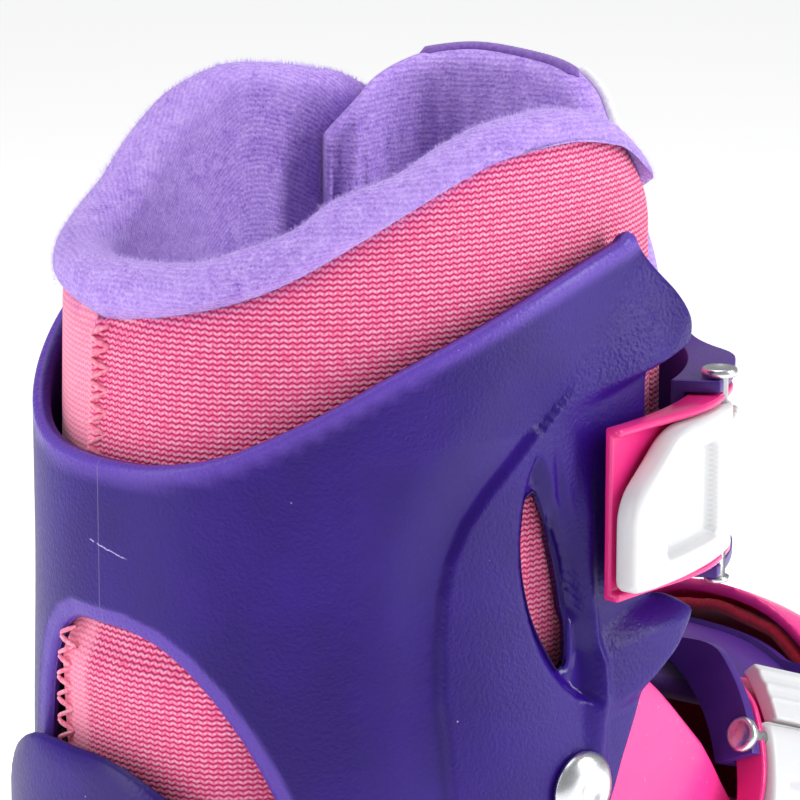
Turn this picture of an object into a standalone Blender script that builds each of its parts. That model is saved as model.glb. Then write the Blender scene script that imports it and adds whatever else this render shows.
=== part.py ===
"""A right-foot children's ice skate with a hard shell, a tilting cuff and two ratchet buckles.

Metres, +X to the toe, +Y to the inner side of the foot, +Z up.  The origin is on the ice, under the middle of
the runner.  Angles round the leg are in degrees: 0 at the back, 90 on the outer side, 180 at the front.
"""
import math

import bmesh
import bpy
from mathutils import Matrix, Vector

# Driving dimensions
GAP = 0.0004                    # clearance between pieces that touch
SOLE_Z = 0.062                  # underside of the lower shell
CUFF_RIM_Z = 0.189              # lowest point of the cuff's rim, at the back
LEG_X = -0.044                  # axis of the leg
CUFF_HALF_LENGTH = 0.0594       # cuff outside, front to back
CUFF_HALF_WIDTH = 0.0468        # cuff outside, side to side
CUFF_WALL = 0.003
CUFF_FLARE = 0.0032             # the cuff widens to the ankle
RIM_RISE = 0.033                # the rim climbs to the front lobes
SECTION_POWER = 2.12            # squareness of the leg's section
PIVOT_X = -0.042                # ankle axis
PIVOT_Z = 0.131
LINER_HALF_LENGTH = 0.0545
LINER_HALF_WIDTH = 0.0412
LINER_THICKNESS = 0.009
LINER_FOOT_THICKNESS = 0.0035
TONGUE_THICKNESS = 0.0065
TONGUE_PROUD = 0.0015           # the tongue stands out between the collar's front edges
SHELL_WALL = 0.0024
BALL_HALF_WIDTH = 0.0440        # lower shell outside, at the ball of the foot
TRAY_FRONT_X = 0.074            # front end of the lower shell
TOE_FRONT_X = 0.110
THROAT_X = 0.047                # back edge of the toe shell's arch
ARCH_Z = 0.141                  # top of the arch
TOE_BOX_HEIGHT = 0.047
TOE_WING_X = -0.008             # back end of the toe shell's side wings
TOE_TRAVEL = 0.012
NOSE_START_X = 0.058            # where the toe shell starts to round off
TOE_HALF_WIDTH = 0.0392
COUNTER_WALL = 0.0024
COUNTER_GAP = 0.0007            # heel counter to the lower shell
COUNTER_CUFF_GAP = 0.0013       # heel counter to the cuff, which tilts inside it
COUNTER_RIM_Z = 0.137           # at the back; it falls to the sides
COUNTER_RIM_DROP = 0.030
INSOLE_THICKNESS = 0.0025
RUNNER_THICKNESS = 0.003
RUNNER_HEIGHT = 0.028
RUNNER_HALF_LENGTH = 0.112
RAIL_HALF_WIDTH = 0.0048
RAIL_LOW_Z = 0.018
RAIL_HIGH_Z = 0.033
RAIL_BACK_X = -0.098
RAIL_FRONT_X = 0.096
HOLDER_PLATE = 0.0035
TOWER_HALF_WIDTH = 0.021
BOLT_RADIUS = 0.002
BOLT_HEAD_RADIUS = 0.0044
BOLT_HEAD = 0.0013
BOLT_LENGTH = 0.013
BOLT_PLACES = (-0.080, -0.045, 0.018, 0.052)
SCREW_Z = 0.0235
SCREW_PLACES = (("rear", -0.070), ("front", 0.060))
RIVET_RADIUS = 0.003
PIN_RADIUS = 0.0015
PIN_HEAD_RADIUS = 0.0027
BUTTON_RADIUS = 0.005
BUTTON_PROUD = 0.0028
BUTTON_THICKNESS = 0.0024
LOCK_PIN_RADIUS = 0.0022
LOCK_PIN_LENGTH = 0.0057
BUTTON_X = 0.052
BUTTON_Z = 0.079
STRAP_WALL = 0.0021
LEVER_HALF_WIDTH = 0.0128
LEVER_THICKNESS = 0.0044
LEVER_LENGTH = 0.033            # pin to free end
FRAME_WALL = 0.0014
RACK_PITCH = 0.0022
RACK_LENGTH = 0.018

COLOURS = {
    "purple": ((0.060, 0.012, 0.200, 1.0), 0.38, 0.0),
    "pink": ((1.000, 0.045, 0.330, 1.0), 0.35, 0.0),
    "white": ((0.850, 0.860, 0.880, 1.0), 0.30, 0.0),
    "knit": ((0.840, 0.130, 0.330, 1.0), 0.90, 0.0),
    "fleece": ((0.420, 0.230, 0.720, 1.0), 0.95, 0.0),
    "steel": ((0.620, 0.630, 0.640, 1.0), 0.28, 1.0),
    "foam": ((0.120, 0.110, 0.140, 1.0), 0.95, 0.0),
}


def clear_scene():
    for item in list(bpy.data.objects):
        bpy.data.objects.remove(item, do_unlink=True)


def make_collection(name):
    collection = bpy.data.collections.new(name)
    bpy.context.scene.collection.children.link(collection)
    return collection


def make_material(name):
    colour, roughness, metallic = COLOURS[name]
    material = bpy.data.materials.new(name)
    material.use_nodes = True
    shader = material.node_tree.nodes["Principled BSDF"]
    shader.inputs["Base Color"].default_value = colour
    shader.inputs["Roughness"].default_value = roughness
    shader.inputs["Metallic"].default_value = metallic
    return material


clear_scene()
SKATE = make_collection("ice_skate")
CUTTERS = make_collection("cutters")
MATERIALS = {name: make_material(name) for name in COLOURS}


def make_body(name, place, axis=(0.0, 0.0, 1.0)):
    """An empty on a joint's axis, its Z along the axis."""
    body = bpy.data.objects.new(name, None)
    body.matrix_world = Matrix.Translation(place) @ Vector(axis).to_track_quat("Z", "Y").to_matrix().to_4x4()
    body.empty_display_size = 0.01
    SKATE.objects.link(body)
    return body


def add_piece(name, shape, material, body=None):
    """Turn a bmesh into a named piece, its faces pointing out."""
    bmesh.ops.remove_doubles(shape, verts=shape.verts, dist=1e-6)
    bmesh.ops.recalc_face_normals(shape, faces=shape.faces)
    mesh = bpy.data.meshes.new(name)
    shape.to_mesh(mesh)
    shape.free()
    mesh.materials.append(MATERIALS[material])
    mesh.shade_smooth()
    mesh.set_sharp_from_angle(angle=math.radians(40))
    piece = bpy.data.objects.new(name, mesh)
    SKATE.objects.link(piece)
    if body:
        piece.parent = body
        piece.matrix_parent_inverse = body.matrix_world.inverted()
    return piece


def add_cutter(name, shape):
    bmesh.ops.recalc_face_normals(shape, faces=shape.faces)
    mesh = bpy.data.meshes.new(name)
    shape.to_mesh(mesh)
    shape.free()
    cutter = bpy.data.objects.new(name, mesh)
    cutter.hide_render = True
    cutter.display_type = "WIRE"
    CUTTERS.objects.link(cutter)
    return cutter


def cut(piece, cutter, operation="DIFFERENCE"):
    modifier = piece.modifiers.new(cutter.name, "BOOLEAN")
    modifier.object = cutter
    modifier.operation = operation


def join_rings(shape, rings):
    """Walls between closed rings of points; returns the rings' vertices."""
    loops = [[shape.verts.new(point) for point in ring] for ring in rings]
    for near, far in zip(loops, loops[1:]):
        for k in range(len(near)):
            shape.faces.new((near[k - 1], near[k], far[k], far[k - 1]))
    return loops


def sweep(rings):
    """A solid through closed rings of points, capped at both ends."""
    shape = bmesh.new()
    loops = join_rings(shape, rings)
    shape.faces.new(loops[0])
    shape.faces.new(loops[-1])
    return shape


def tub(outer, inner):
    """A cup: outer and inner walls joined at their first rings, with a floor on their last."""
    shape = bmesh.new()
    loops = join_rings(shape, list(reversed(outer)) + inner)
    shape.faces.new(loops[0])
    shape.faces.new(loops[-1])
    return shape


def box(low, high):
    shape = bmesh.new()
    middle = (Vector(low) + Vector(high)) / 2
    size = Vector(high) - Vector(low)
    bmesh.ops.create_cube(shape, size=1.0, matrix=Matrix.Translation(middle) @ Matrix.Diagonal(size.to_4d()))
    return shape


def rod(start, end, radius, segments=16):
    """A plain cylinder from start to end."""
    start, end = Vector(start), Vector(end)
    turn = (end - start).to_track_quat("Z", "Y").to_matrix().to_4x4()
    shape = bmesh.new()
    bmesh.ops.create_cone(shape, cap_ends=True, segments=segments, radius1=radius, radius2=radius,
                          depth=(end - start).length, matrix=Matrix.Translation((start + end) / 2) @ turn)
    return shape


def turned(name, profile, place, axis, material, body=None, steps=12):
    """A turned piece: its (radius, height) profile runs from the top of its outer side to the bottom."""
    mesh = bpy.data.meshes.new(name)
    mesh.from_pydata([(radius, 0.0, height) for radius, height in profile],
                     [(k, k + 1) for k in range(len(profile) - 1)], [])
    mesh.materials.append(MATERIALS[material])
    piece = bpy.data.objects.new(name, mesh)
    SKATE.objects.link(piece)
    screw = piece.modifiers.new("turn", "SCREW")
    screw.steps = steps
    screw.render_steps = steps
    screw.use_merge_vertices = True
    screw.merge_threshold = 0.00005
    piece.matrix_world = Matrix.Translation(place) @ Vector(axis).to_track_quat("Z", "Y").to_matrix().to_4x4()
    if body:
        piece.parent = body
        piece.matrix_parent_inverse = body.matrix_world.inverted()
    return piece


def ease(value, low, high):
    """0 below low, 1 above high, smooth between."""
    share = min(max((value - low) / (high - low), 0.0), 1.0)
    return share * share * (3 - 2 * share)


def along(points, position):
    """A smooth curve through (position, value) points, with no overshoot, flat beyond its ends."""
    position = min(max(position, points[0][0]), points[-1][0])
    rises = [(v1 - v0) / (p1 - p0) for (p0, v0), (p1, v1) in zip(points, points[1:])]
    slopes = [rises[0]]
    for before, after in zip(rises, rises[1:]):
        slopes.append(2 * before * after / (before + after) if before * after > 0 else 0.0)
    slopes.append(rises[-1])
    k = max(k for k in range(len(rises)) if position >= points[k][0])
    (p0, v0), (p1, v1) = points[k], points[k + 1]
    share = (position - p0) / (p1 - p0)
    rest = 1 - share
    bend = rest * (slopes[k] - rises[k]) - share * (slopes[k + 1] - rises[k])
    return v0 * rest + v1 * share + share * rest * (p1 - p0) * bend


def spread(low, high, count):
    return [low + (high - low) * k / (count - 1) for k in range(count)]


class Wrap:
    """A surface that wraps round an axis, given by angle, place across it, and distance out from it."""

    def __init__(self, centre, back, side, half_length, half_width, power):
        self.centre = Vector(centre)
        self.back = Vector(back)
        self.side = Vector(side)
        self.axis = self.back.cross(self.side)
        self.half_length = half_length
        self.half_width = half_width
        self.power = power

    def reach(self, angle, out):
        turn = math.radians(angle)
        lengthwise = abs(math.cos(turn)) / (self.half_length + out)
        sideways = abs(math.sin(turn)) / (self.half_width + out)
        return (lengthwise ** self.power + sideways ** self.power) ** (-1 / self.power)

    def place(self, angle, across, out):
        turn = math.radians(angle)
        ray = self.back * math.cos(turn) + self.side * math.sin(turn)
        return self.centre + self.axis * across + ray * self.reach(angle, out)

    def facing(self, angle):
        """The direction straight out of the surface."""
        tangent = self.place(angle + 0.5, 0, 0) - self.place(angle - 0.5, 0, 0)
        return tangent.cross(self.axis).normalized()

    def angle_from(self, angle, distance, out):
        """The angle reached by going a distance round the surface."""
        step = 0.25 if distance > 0 else -0.25
        left = abs(distance)
        while left > 0:
            here = self.place(angle, 0.0, out)
            angle += step
            left -= (self.place(angle, 0.0, out) - here).length
        return angle

    def slab(self, outline, low, high):
        """A solid with an (angle, across) outline, between two distances out."""
        return sweep([[self.place(angle, across, out) for angle, across in outline] for out in (low, high)])

    def curtain(self, stations, low, high):
        """A solid through (angle, bottom, top) stations, between two distances out."""
        return sweep([[self.place(angle, bottom, low), self.place(angle, top, low),
                       self.place(angle, top, high), self.place(angle, bottom, high)]
                      for angle, bottom, top in stations])

    def stack(self, levels, low, high):
        """A solid through (across, from angle, to angle) levels, between two distances out."""
        return sweep([[self.place(start, across, low), self.place(end, across, low),
                       self.place(end, across, high), self.place(start, across, high)]
                      for across, start, end in levels])


LEG = Wrap((LEG_X, 0, 0), (-1, 0, 0), (0, -1, 0), CUFF_HALF_LENGTH, CUFF_HALF_WIDTH, SECTION_POWER)
LINER = Wrap((LEG_X, 0, 0), (-1, 0, 0), (0, -1, 0), LINER_HALF_LENGTH, LINER_HALF_WIDTH, SECTION_POWER)

INSTEP_SLOPE = math.radians(20)
INSTEP_DOWN = Vector((-math.sin(INSTEP_SLOPE), 0, -math.cos(INSTEP_SLOPE)))
INSTEP = Wrap((0.0124, 0, 0.0995), INSTEP_DOWN, (0, -1, 0), 0.037, 0.042, 2.4)

SHELL = make_body("shell", (0, 0, 0))
CUFF = make_body("cuff_body", (PIVOT_X, 0, PIVOT_Z), (0, 1, 0))
TOE = make_body("toe_body", (THROAT_X, 0, SOLE_Z), (1, 0, 0))


# Cuff -------------------------------------------------------------------------------------------------------
RIM_SHAPE = [(0, 0), (8, 0.003), (20, 0.055), (35, 0.233), (53, 0.482), (74, 0.694), (100, 0.897), (121, 1)]


def cuff_rim(angle):
    """Height of the cuff's top edge."""
    return CUFF_RIM_Z + RIM_RISE * along(RIM_SHAPE, abs(angle))


def cuff_flare(height):
    return CUFF_FLARE * (1 - ease(height, PIVOT_Z, PIVOT_Z + 0.042))


def lobe(angle, height):
    """How far the front lobes stand out; the buckle lies in the saddle between them."""
    if angle < 0:
        return 0.0
    above = ease(height, CUFF_RIM_Z + 0.008, CUFF_RIM_Z + 0.013)
    below = 1 - ease(height, CUFF_RIM_Z - 0.034, CUFF_RIM_Z - 0.029)
    low_end = ease(height, CUFF_RIM_Z - 0.056, CUFF_RIM_Z - 0.036)
    return 0.005 * ease(angle, 96, 124) * max(above, below * low_end)


def cuff_point(angle, height, out):
    """A point on the cuff, whose sides flare but whose back stays upright."""
    sideways = math.sin(math.radians(angle)) ** 2
    return LEG.place(angle, height, out + cuff_flare(height) * sideways)


def make_cuff():
    bottom = PIVOT_Z - 0.015
    rings = []
    for angle in spread(-130, 130, 49):
        heights = spread(bottom, cuff_rim(angle), 11)
        outer = [cuff_point(angle, height, lobe(angle, height)) for height in heights]
        inner = [cuff_point(angle, height, -CUFF_WALL) for height in reversed(heights)]
        rings.append(outer + inner)
    cuff = add_piece("cuff", sweep(rings), "purple", CUFF)
    under = bottom - 0.010
    arch_top = CUFF_RIM_Z - 0.028
    arch = [(-60, 0.047), (-50, 0.044), (-38, 0.040), (-28, 0.036), (-21, 0.031), (-19.6, 0.025),
            (-18.3, 0.0176), (-16.6, 0.011), (-13.7, 0.0059), (-9.6, 0.0017), (-6, 0), (5.5, 0),
            (11.5, 0.0015), (16.7, 0.0048), (21.7, 0.0098), (26.5, 0.0162), (30, 0.022), (33.5, 0.029),
            (37, 0.037), (40, 0.047)]
    stations = [(angle, under, arch_top - drop) for angle, drop in arch]
    cut(cuff, add_cutter("cuff_arch", LEG.curtain(stations, -0.012, 0.015)))
    leaf = [(80.0, -0.0200, -0.0160), (81.5, -0.0265, -0.0105), (83.5, -0.0310, -0.0070),
            (86.0, -0.0350, -0.0060), (89.0, -0.0385, -0.0085), (92.0, -0.0395, -0.0120),
            (94.0, -0.0360, -0.0180), (95.0, -0.0290, -0.0250)]
    stations = [(angle, CUFF_RIM_Z + low, CUFF_RIM_Z + high) for angle, low, high in leaf]
    cut(cuff, add_cutter("leaf_window", LEG.curtain(stations, -0.010, 0.010)))
    low_edge = [(-0.050, 105), (-0.065, 101), (-0.071, 95), (-0.083, 88)]
    outer_edge = [(0.045, 113), (0.033, 116), (0.014, 126), (0.008, 119), (-0.030, 119), (-0.032, 123),
                  (-0.042, 114)] + low_edge
    inner_edge = [(0.045, 113), (0.033, 116), (0.014, 121), (-0.030, 119), (-0.042, 112)] + low_edge
    for name, edge, side in (("outer", outer_edge, 1), ("inner", inner_edge, -1)):
        levels = [(CUFF_RIM_Z + rise, side * angle, side * 145) for rise, angle in edge]
        cut(cuff, add_cutter("cuff_front_" + name, LEG.stack(levels, -0.014, 0.020)))
    for side, name in ((-1, "outer"), (1, "inner")):
        hole = rod((PIVOT_X, side * 0.030, PIVOT_Z), (PIVOT_X, side * 0.060, PIVOT_Z), RIVET_RADIUS + GAP)
        cut(cuff, add_cutter("cuff_rivet_hole_" + name, hole))
    return cuff


# Liner and tongue -------------------------------------------------------------------------------------------
COLLAR_END = 126                # angle of the collar's front edges
COLLAR_TOP = [(0, 0.036), (45, 0.042), (80, 0.051), (98, 0.054), (112, 0.053), (128, 0.042)]


def collar_low(point_x):
    """Lower edge of the collar, cut back so that it clears the foot part when the cuff tilts."""
    lean = 0.27 if point_x > PIVOT_X else -0.09
    return PIVOT_Z - 0.002 + lean * (point_x - PIVOT_X)


def make_collar():
    rings = []
    for angle in spread(-COLLAR_END, COLLAR_END, 37):
        top = CUFF_RIM_Z + along(COLLAR_TOP, abs(angle))
        low = collar_low(LINER.place(angle, 0, 0).x)
        outer = [LINER.place(angle, height, -0.0012 * (1 - ease(height, low, low + 0.030)))
                 for height in spread(low, top, 4)]
        inner = [LINER.place(angle, height, -LINER_THICKNESS) for height in spread(top, low, 4)]
        rings.append(outer + inner)
    return add_piece("liner_collar", sweep(rings), "knit", CUFF)


def make_tongue():
    low = CUFF_RIM_Z - 0.030
    rings = []
    for angle in spread(116, 244, 25):
        from_front = abs(angle - 180)
        face = TONGUE_PROUD - (TONGUE_PROUD + LINER_THICKNESS + GAP) * ease(from_front, 26, 50)
        top = CUFF_RIM_Z + 0.053 - 0.012 * ease(from_front, 44, 64)
        outer = [LINER.place(angle, height, face) for height in spread(low, top, 3)]
        inner = [LINER.place(angle, height, face - TONGUE_THICKNESS) for height in spread(top, low, 3)]
        rings.append(outer + inner)
    return add_piece("tongue", sweep(rings), "knit", CUFF)


def make_tongue_foot():
    top, low = -0.0008, -0.0008 - TONGUE_THICKNESS
    rings = []
    for angle in spread(142, 218, 13):
        rings.append([INSTEP.place(angle, 0.024, top), INSTEP.place(angle, -0.017, top),
                      INSTEP.place(angle, -0.017, low), INSTEP.place(angle, 0.024, low)])
    return add_piece("tongue_foot", sweep(rings), "knit", SHELL)


# Lower shell ------------------------------------------------------------------------------------------------
HEEL_LENGTH = [(0.062, 0.0585), (0.085, 0.0600), (0.105, 0.0590), (0.122, 0.0552), (0.150, 0.0548)]
ANKLE_WIDTH = [(0.062, 0.0360), (0.085, 0.0410), (0.110, 0.0430), (0.131, 0.0450), (0.150, 0.0432)]
SHELL_RIM = [(-0.074, 0.1275), (-0.062, 0.147), (-0.028, 0.147), (-0.005, 0.129), (0.008, 0.112),
             (0.030, 0.102), (0.070, 0.088)]


def shell_half_width(x, height):
    """Half width of the lower shell in front of the leg's axis."""
    ankle = along(ANKLE_WIDTH, height)
    ball = BALL_HALF_WIDTH - 0.006 * (1 - ease(height, SOLE_Z, SOLE_Z + 0.014))
    ball -= 0.0025 * ease(height, 0.084, 0.090)
    return ankle + (ball - ankle) * ease(x, LEG_X, 0.020)


def shell_ring(share, inset, floor_z):
    """A closed ring round the lower shell, share 0 at its rim and 1 at its floor."""
    points = []
    front = TRAY_FRONT_X - inset
    for side in (-1, 1):
        half = []
        for angle in spread(0, 90, 12):
            turn = math.radians(angle)
            half.append((-math.cos(turn), math.sin(turn), None))
        for x in spread(LEG_X, front, 13)[1:]:
            half.append((x, 1.0, x))
        if side == 1:
            half = list(reversed(half))[:-1]
        for first, second, forward in half:
            rough_x = LEG_X + first * 0.058 if forward is None else forward
            height = floor_z + (along(SHELL_RIM, rough_x) - floor_z) * (1 - share)
            if forward is None:
                length = along(HEEL_LENGTH, height) - inset
                width = along(ANKLE_WIDTH, height) - inset
                reach = (abs(first / length) ** SECTION_POWER
                         + abs(second / width) ** SECTION_POWER) ** (-1 / SECTION_POWER)
                points.append(Vector((LEG_X + first * reach, side * second * reach, height)))
            else:
                points.append(Vector((forward, side * (shell_half_width(forward, height) - inset), height)))
    return points


def make_lower_shell():
    shares = spread(0, 1, 9)
    outer = [shell_ring(share, 0, SOLE_Z) for share in shares]
    inner = [shell_ring(share, SHELL_WALL, SOLE_Z + SHELL_WALL) for share in shares]
    shell = add_piece("lower_shell", tub(outer, inner), "pink", SHELL)
    front = box((TRAY_FRONT_X - 0.006, -0.060, SOLE_Z + SHELL_WALL), (TRAY_FRONT_X + 0.010, 0.060, 0.120))
    cut(shell, add_cutter("tray_front", front))
    for side, name in ((-1, "outer"), (1, "inner")):
        hole = rod((PIVOT_X, side * 0.030, PIVOT_Z), (PIVOT_X, side * 0.060, PIVOT_Z), RIVET_RADIUS + GAP)
        cut(shell, add_cutter("shell_rivet_hole_" + name, hole))
    hole = rod((BUTTON_X, -0.060, BUTTON_Z), (BUTTON_X, -0.030, BUTTON_Z), BUTTON_RADIUS + GAP)
    cut(shell, add_cutter("button_hole", hole))
    return shell


def make_heel_counter():
    """The outer cup behind the heel; the cuff's legs end between it and the lower shell."""
    rings = []
    for angle in spread(-92, 92, 27):
        rim = COUNTER_RIM_Z - COUNTER_RIM_DROP * ease(abs(angle), 20, 80)
        heights = spread(SOLE_Z + 0.001, rim, 8)
        outer, inner = [], []
        for height in heights:
            clear = ease(height, 0.096, 0.113)
            length = along(HEEL_LENGTH, height) + COUNTER_GAP
            length += max(CUFF_HALF_LENGTH + COUNTER_CUFF_GAP - length, 0) * clear
            width = along(ANKLE_WIDTH, height) + COUNTER_GAP
            width += (CUFF_HALF_WIDTH + CUFF_FLARE + COUNTER_CUFF_GAP - width) * clear
            wall = Wrap(LEG.centre, LEG.back, LEG.side, length, width, SECTION_POWER)
            inner.append(wall.place(angle, height, 0))
            outer.append(wall.place(angle, height, COUNTER_WALL))
        rings.append(outer + list(reversed(inner)))
    return add_piece("heel_counter", sweep(rings), "purple", SHELL)


def make_liner_foot():
    """The inner boot's heel part, open on top and in front."""
    clear = SHELL_WALL + 2 * GAP
    floor_z = SOLE_Z + clear
    shares = spread(0.06, 1, 6)
    outer = [shell_ring(share, clear, floor_z) for share in shares]
    inset = clear + LINER_FOOT_THICKNESS
    inner = [shell_ring(share, inset, floor_z + LINER_FOOT_THICKNESS) for share in shares]
    liner = add_piece("liner_foot", tub(outer, inner), "foam", SHELL)
    cut(liner, add_cutter("liner_front", box((TOE_WING_X - 0.004, -0.060, 0.050), (0.120, 0.060, 0.170))))
    top = PIVOT_Z - 0.0085
    cut(liner, add_cutter("liner_top", box((-0.130, -0.060, top), (0.050, 0.060, 0.200))))
    return liner


# Toe shell --------------------------------------------------------------------------------------------------
def toe_top(x):
    """Height of the toe shell's roof line."""
    cap = SOLE_Z + TOE_BOX_HEIGHT
    return along([(THROAT_X - 0.006, ARCH_Z), (THROAT_X + 0.008, ARCH_Z - 0.006), (0.074, cap + 0.013),
                  (0.092, cap + 0.003), (TOE_FRONT_X, cap - 0.006)], x)


def toe_ring(x, inset, low, count=17):
    """A closed ring across the toe shell."""
    front = TOE_FRONT_X - inset
    share = max((x - NOSE_START_X) / (front - NOSE_START_X), 0)
    nose = max(1 - share ** 2.3, 0.0) ** (1 / 2.3)
    clear = SHELL_WALL + GAP + inset

    def width_at(height):
        return (shell_half_width(min(x, NOSE_START_X), height) - clear) * nose

    half_width = min(width_at(0.095), (TOE_HALF_WIDTH - inset) * nose)
    low_width = min(width_at(low + 0.005), half_width)
    foot_width = min(width_at(low), half_width)
    roof = toe_top(x) - inset
    top = low + 0.018 + (roof - low - 0.018) * (1 - share ** 5)
    shoulder = low + 0.012
    points = []
    for angle in spread(0, 180, count):
        turn = math.radians(angle)
        sideways = math.copysign(abs(math.cos(turn)) ** 0.80, math.cos(turn))
        upward = math.sin(turn) ** 0.80
        points.append(Vector((x, -half_width * sideways, shoulder + (top - shoulder) * upward)))
    points.append(Vector((x, low_width, low + 0.005)))
    points.append(Vector((x, foot_width, low)))
    points.append(Vector((x, -foot_width, low)))
    points.append(Vector((x, -low_width, low + 0.005)))
    return points


def toe_stations(start, front, steps=9):
    """Places along the toe, closer together at the nose."""
    straight = spread(start, NOSE_START_X, steps - 1)
    length = front - NOSE_START_X
    nose = [NOSE_START_X + length * math.sin(math.radians(turn)) for turn in spread(10, 86, steps)]
    return straight + nose


def throat_cutter(name, drop):
    """The throat's opening: an arch in front, open to the back."""
    outline = [(-0.060, 0.124 - drop), (-0.006, 0.124 - drop), (0.014, 0.112 - drop), (0.028, 0.108 - drop),
               (THROAT_X - 0.007, 0.113 - drop), (THROAT_X - 0.001, 0.126), (THROAT_X + 0.001, 0.170),
               (-0.060, 0.170)]
    return add_cutter(name, sweep([[Vector((x, y, z)) for x, z in outline] for y in (-0.060, 0.060)]))


def button_slot(name, half_height):
    """The slot along which the toe travels past the locking pin."""
    low = (BUTTON_X - half_height - TOE_TRAVEL, -0.050, BUTTON_Z - half_height)
    high = (BUTTON_X + half_height, -0.030, BUTTON_Z + half_height)
    return add_cutter(name, box(low, high))


def make_toe_shell():
    low = SOLE_Z + SHELL_WALL + GAP
    outer = [toe_ring(x, 0, low) for x in toe_stations(TOE_WING_X, TOE_FRONT_X)]
    inner_stations = toe_stations(TOE_WING_X, TOE_FRONT_X - SHELL_WALL)
    inner = [toe_ring(x, SHELL_WALL, low + SHELL_WALL) for x in inner_stations]
    toe = add_piece("toe_shell", tub(outer, inner), "pink", TOE)
    cut(toe, throat_cutter("throat", 0))
    cut(toe, button_slot("button_slot", LOCK_PIN_RADIUS + 0.0006))
    return toe


def make_liner_toe():
    low = SOLE_Z + 2 * (SHELL_WALL + GAP)
    inset = SHELL_WALL + GAP
    outer = [toe_ring(x, inset, low, 11) for x in toe_stations(TOE_WING_X, TOE_FRONT_X - inset, 6)]
    inset += LINER_FOOT_THICKNESS * 0.7
    inner = [toe_ring(x, inset, low + 0.0015, 11) for x in toe_stations(TOE_WING_X, TOE_FRONT_X - inset, 6)]
    liner = add_piece("liner_toe", tub(outer, inner), "foam", TOE)
    cut(liner, throat_cutter("liner_throat", 0.002))
    cut(liner, button_slot("liner_button_slot", LOCK_PIN_RADIUS + 0.0008))
    return liner


def make_insole():
    low = SOLE_Z + 2 * (SHELL_WALL + GAP) + LINER_FOOT_THICKNESS
    back = LEG_X - 0.047
    front = 0.080
    outline = []
    for side in (-1, 1):
        half = []
        for share in spread(0, 1, 15):
            x = back + (front - back) * (1 - math.cos(math.pi * share)) / 2
            middle = 0.0265 + 0.005 * ease(x, -0.050, 0.035)
            half.append((x, side * middle * math.sin(math.pi * share) ** 0.45))
        outline += half[:-1] if side == -1 else list(reversed(half))[:-1]
    rings = [[Vector((x, y, z)) for x, y in outline] for z in (low, low + INSOLE_THICKNESS)]
    return add_piece("insole", sweep(rings), "foam", SHELL)


def make_size_button():
    """A push button in the lower shell's side, and the pin under it that locks the toe shell."""
    body = make_body("button_body", (BUTTON_X, -0.045, BUTTON_Z), (0, 1, 0))
    face = shell_half_width(BUTTON_X, BUTTON_Z) + BUTTON_PROUD
    back = face - BUTTON_THICKNESS
    profile = [(0, face), (BUTTON_RADIUS - 0.0008, face), (BUTTON_RADIUS, face - 0.0008),
               (BUTTON_RADIUS, back), (0, back)]
    turned("size_button", profile, (BUTTON_X, 0, BUTTON_Z), (0, -1, 0), "white", body)
    start = back - GAP
    end = start - LOCK_PIN_LENGTH
    profile = [(0, start), (LOCK_PIN_RADIUS, start), (LOCK_PIN_RADIUS, end), (0, end)]
    turned("toe_lock_pin", profile, (BUTTON_X, 0, BUTTON_Z), (0, -1, 0), "steel", body)


# Blade ------------------------------------------------------------------------------------------------------
def make_holder():
    top = SOLE_Z - GAP
    rail = box((RAIL_BACK_X, -RAIL_HALF_WIDTH, RAIL_LOW_Z), (RAIL_FRONT_X, RAIL_HALF_WIDTH, RAIL_HIGH_Z))
    holder = add_piece("blade_holder", rail, "white", SHELL)
    towers = (("rear", -0.094, -0.034, -0.096, -0.024), ("front", 0.006, 0.066, -0.004, 0.070))
    for name, low_back, low_front, high_back, high_front in towers:
        rings = []
        for height, back, front, width in (
                (RAIL_HIGH_Z - 0.002, low_back, low_front, RAIL_HALF_WIDTH - 0.0003),
                (0.046, low_back + 0.002, low_front - 0.002, RAIL_HALF_WIDTH + 0.0035),
                (top - HOLDER_PLATE, high_back + 0.004, high_front - 0.004, TOWER_HALF_WIDTH - 0.002),
                (top - HOLDER_PLATE + 0.001, high_back, high_front, TOWER_HALF_WIDTH),
                (top, high_back, high_front, TOWER_HALF_WIDTH)):
            corner = min(0.006, width * 0.5)
            rings.append([Vector((x, y, height)) for x, y in (
                (back + corner, -width), (front - corner, -width), (front, -width + corner),
                (front, width - corner), (front - corner, width), (back + corner, width),
                (back, width - corner), (back, -width + corner))])
        cut(holder, add_cutter(name + "_tower", sweep(rings)), "UNION")
    half_slot = RUNNER_THICKNESS / 2 + GAP
    slot = box((-0.130, -half_slot, 0.0), (0.130, half_slot, RUNNER_HEIGHT + GAP))
    cut(holder, add_cutter("runner_slot", slot))
    for name, x in SCREW_PLACES:
        hole = rod((x, -0.020, SCREW_Z), (x, 0.020, SCREW_Z), BOLT_RADIUS + GAP)
        cut(holder, add_cutter("holder_screw_hole_" + name, hole))
    return holder


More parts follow.
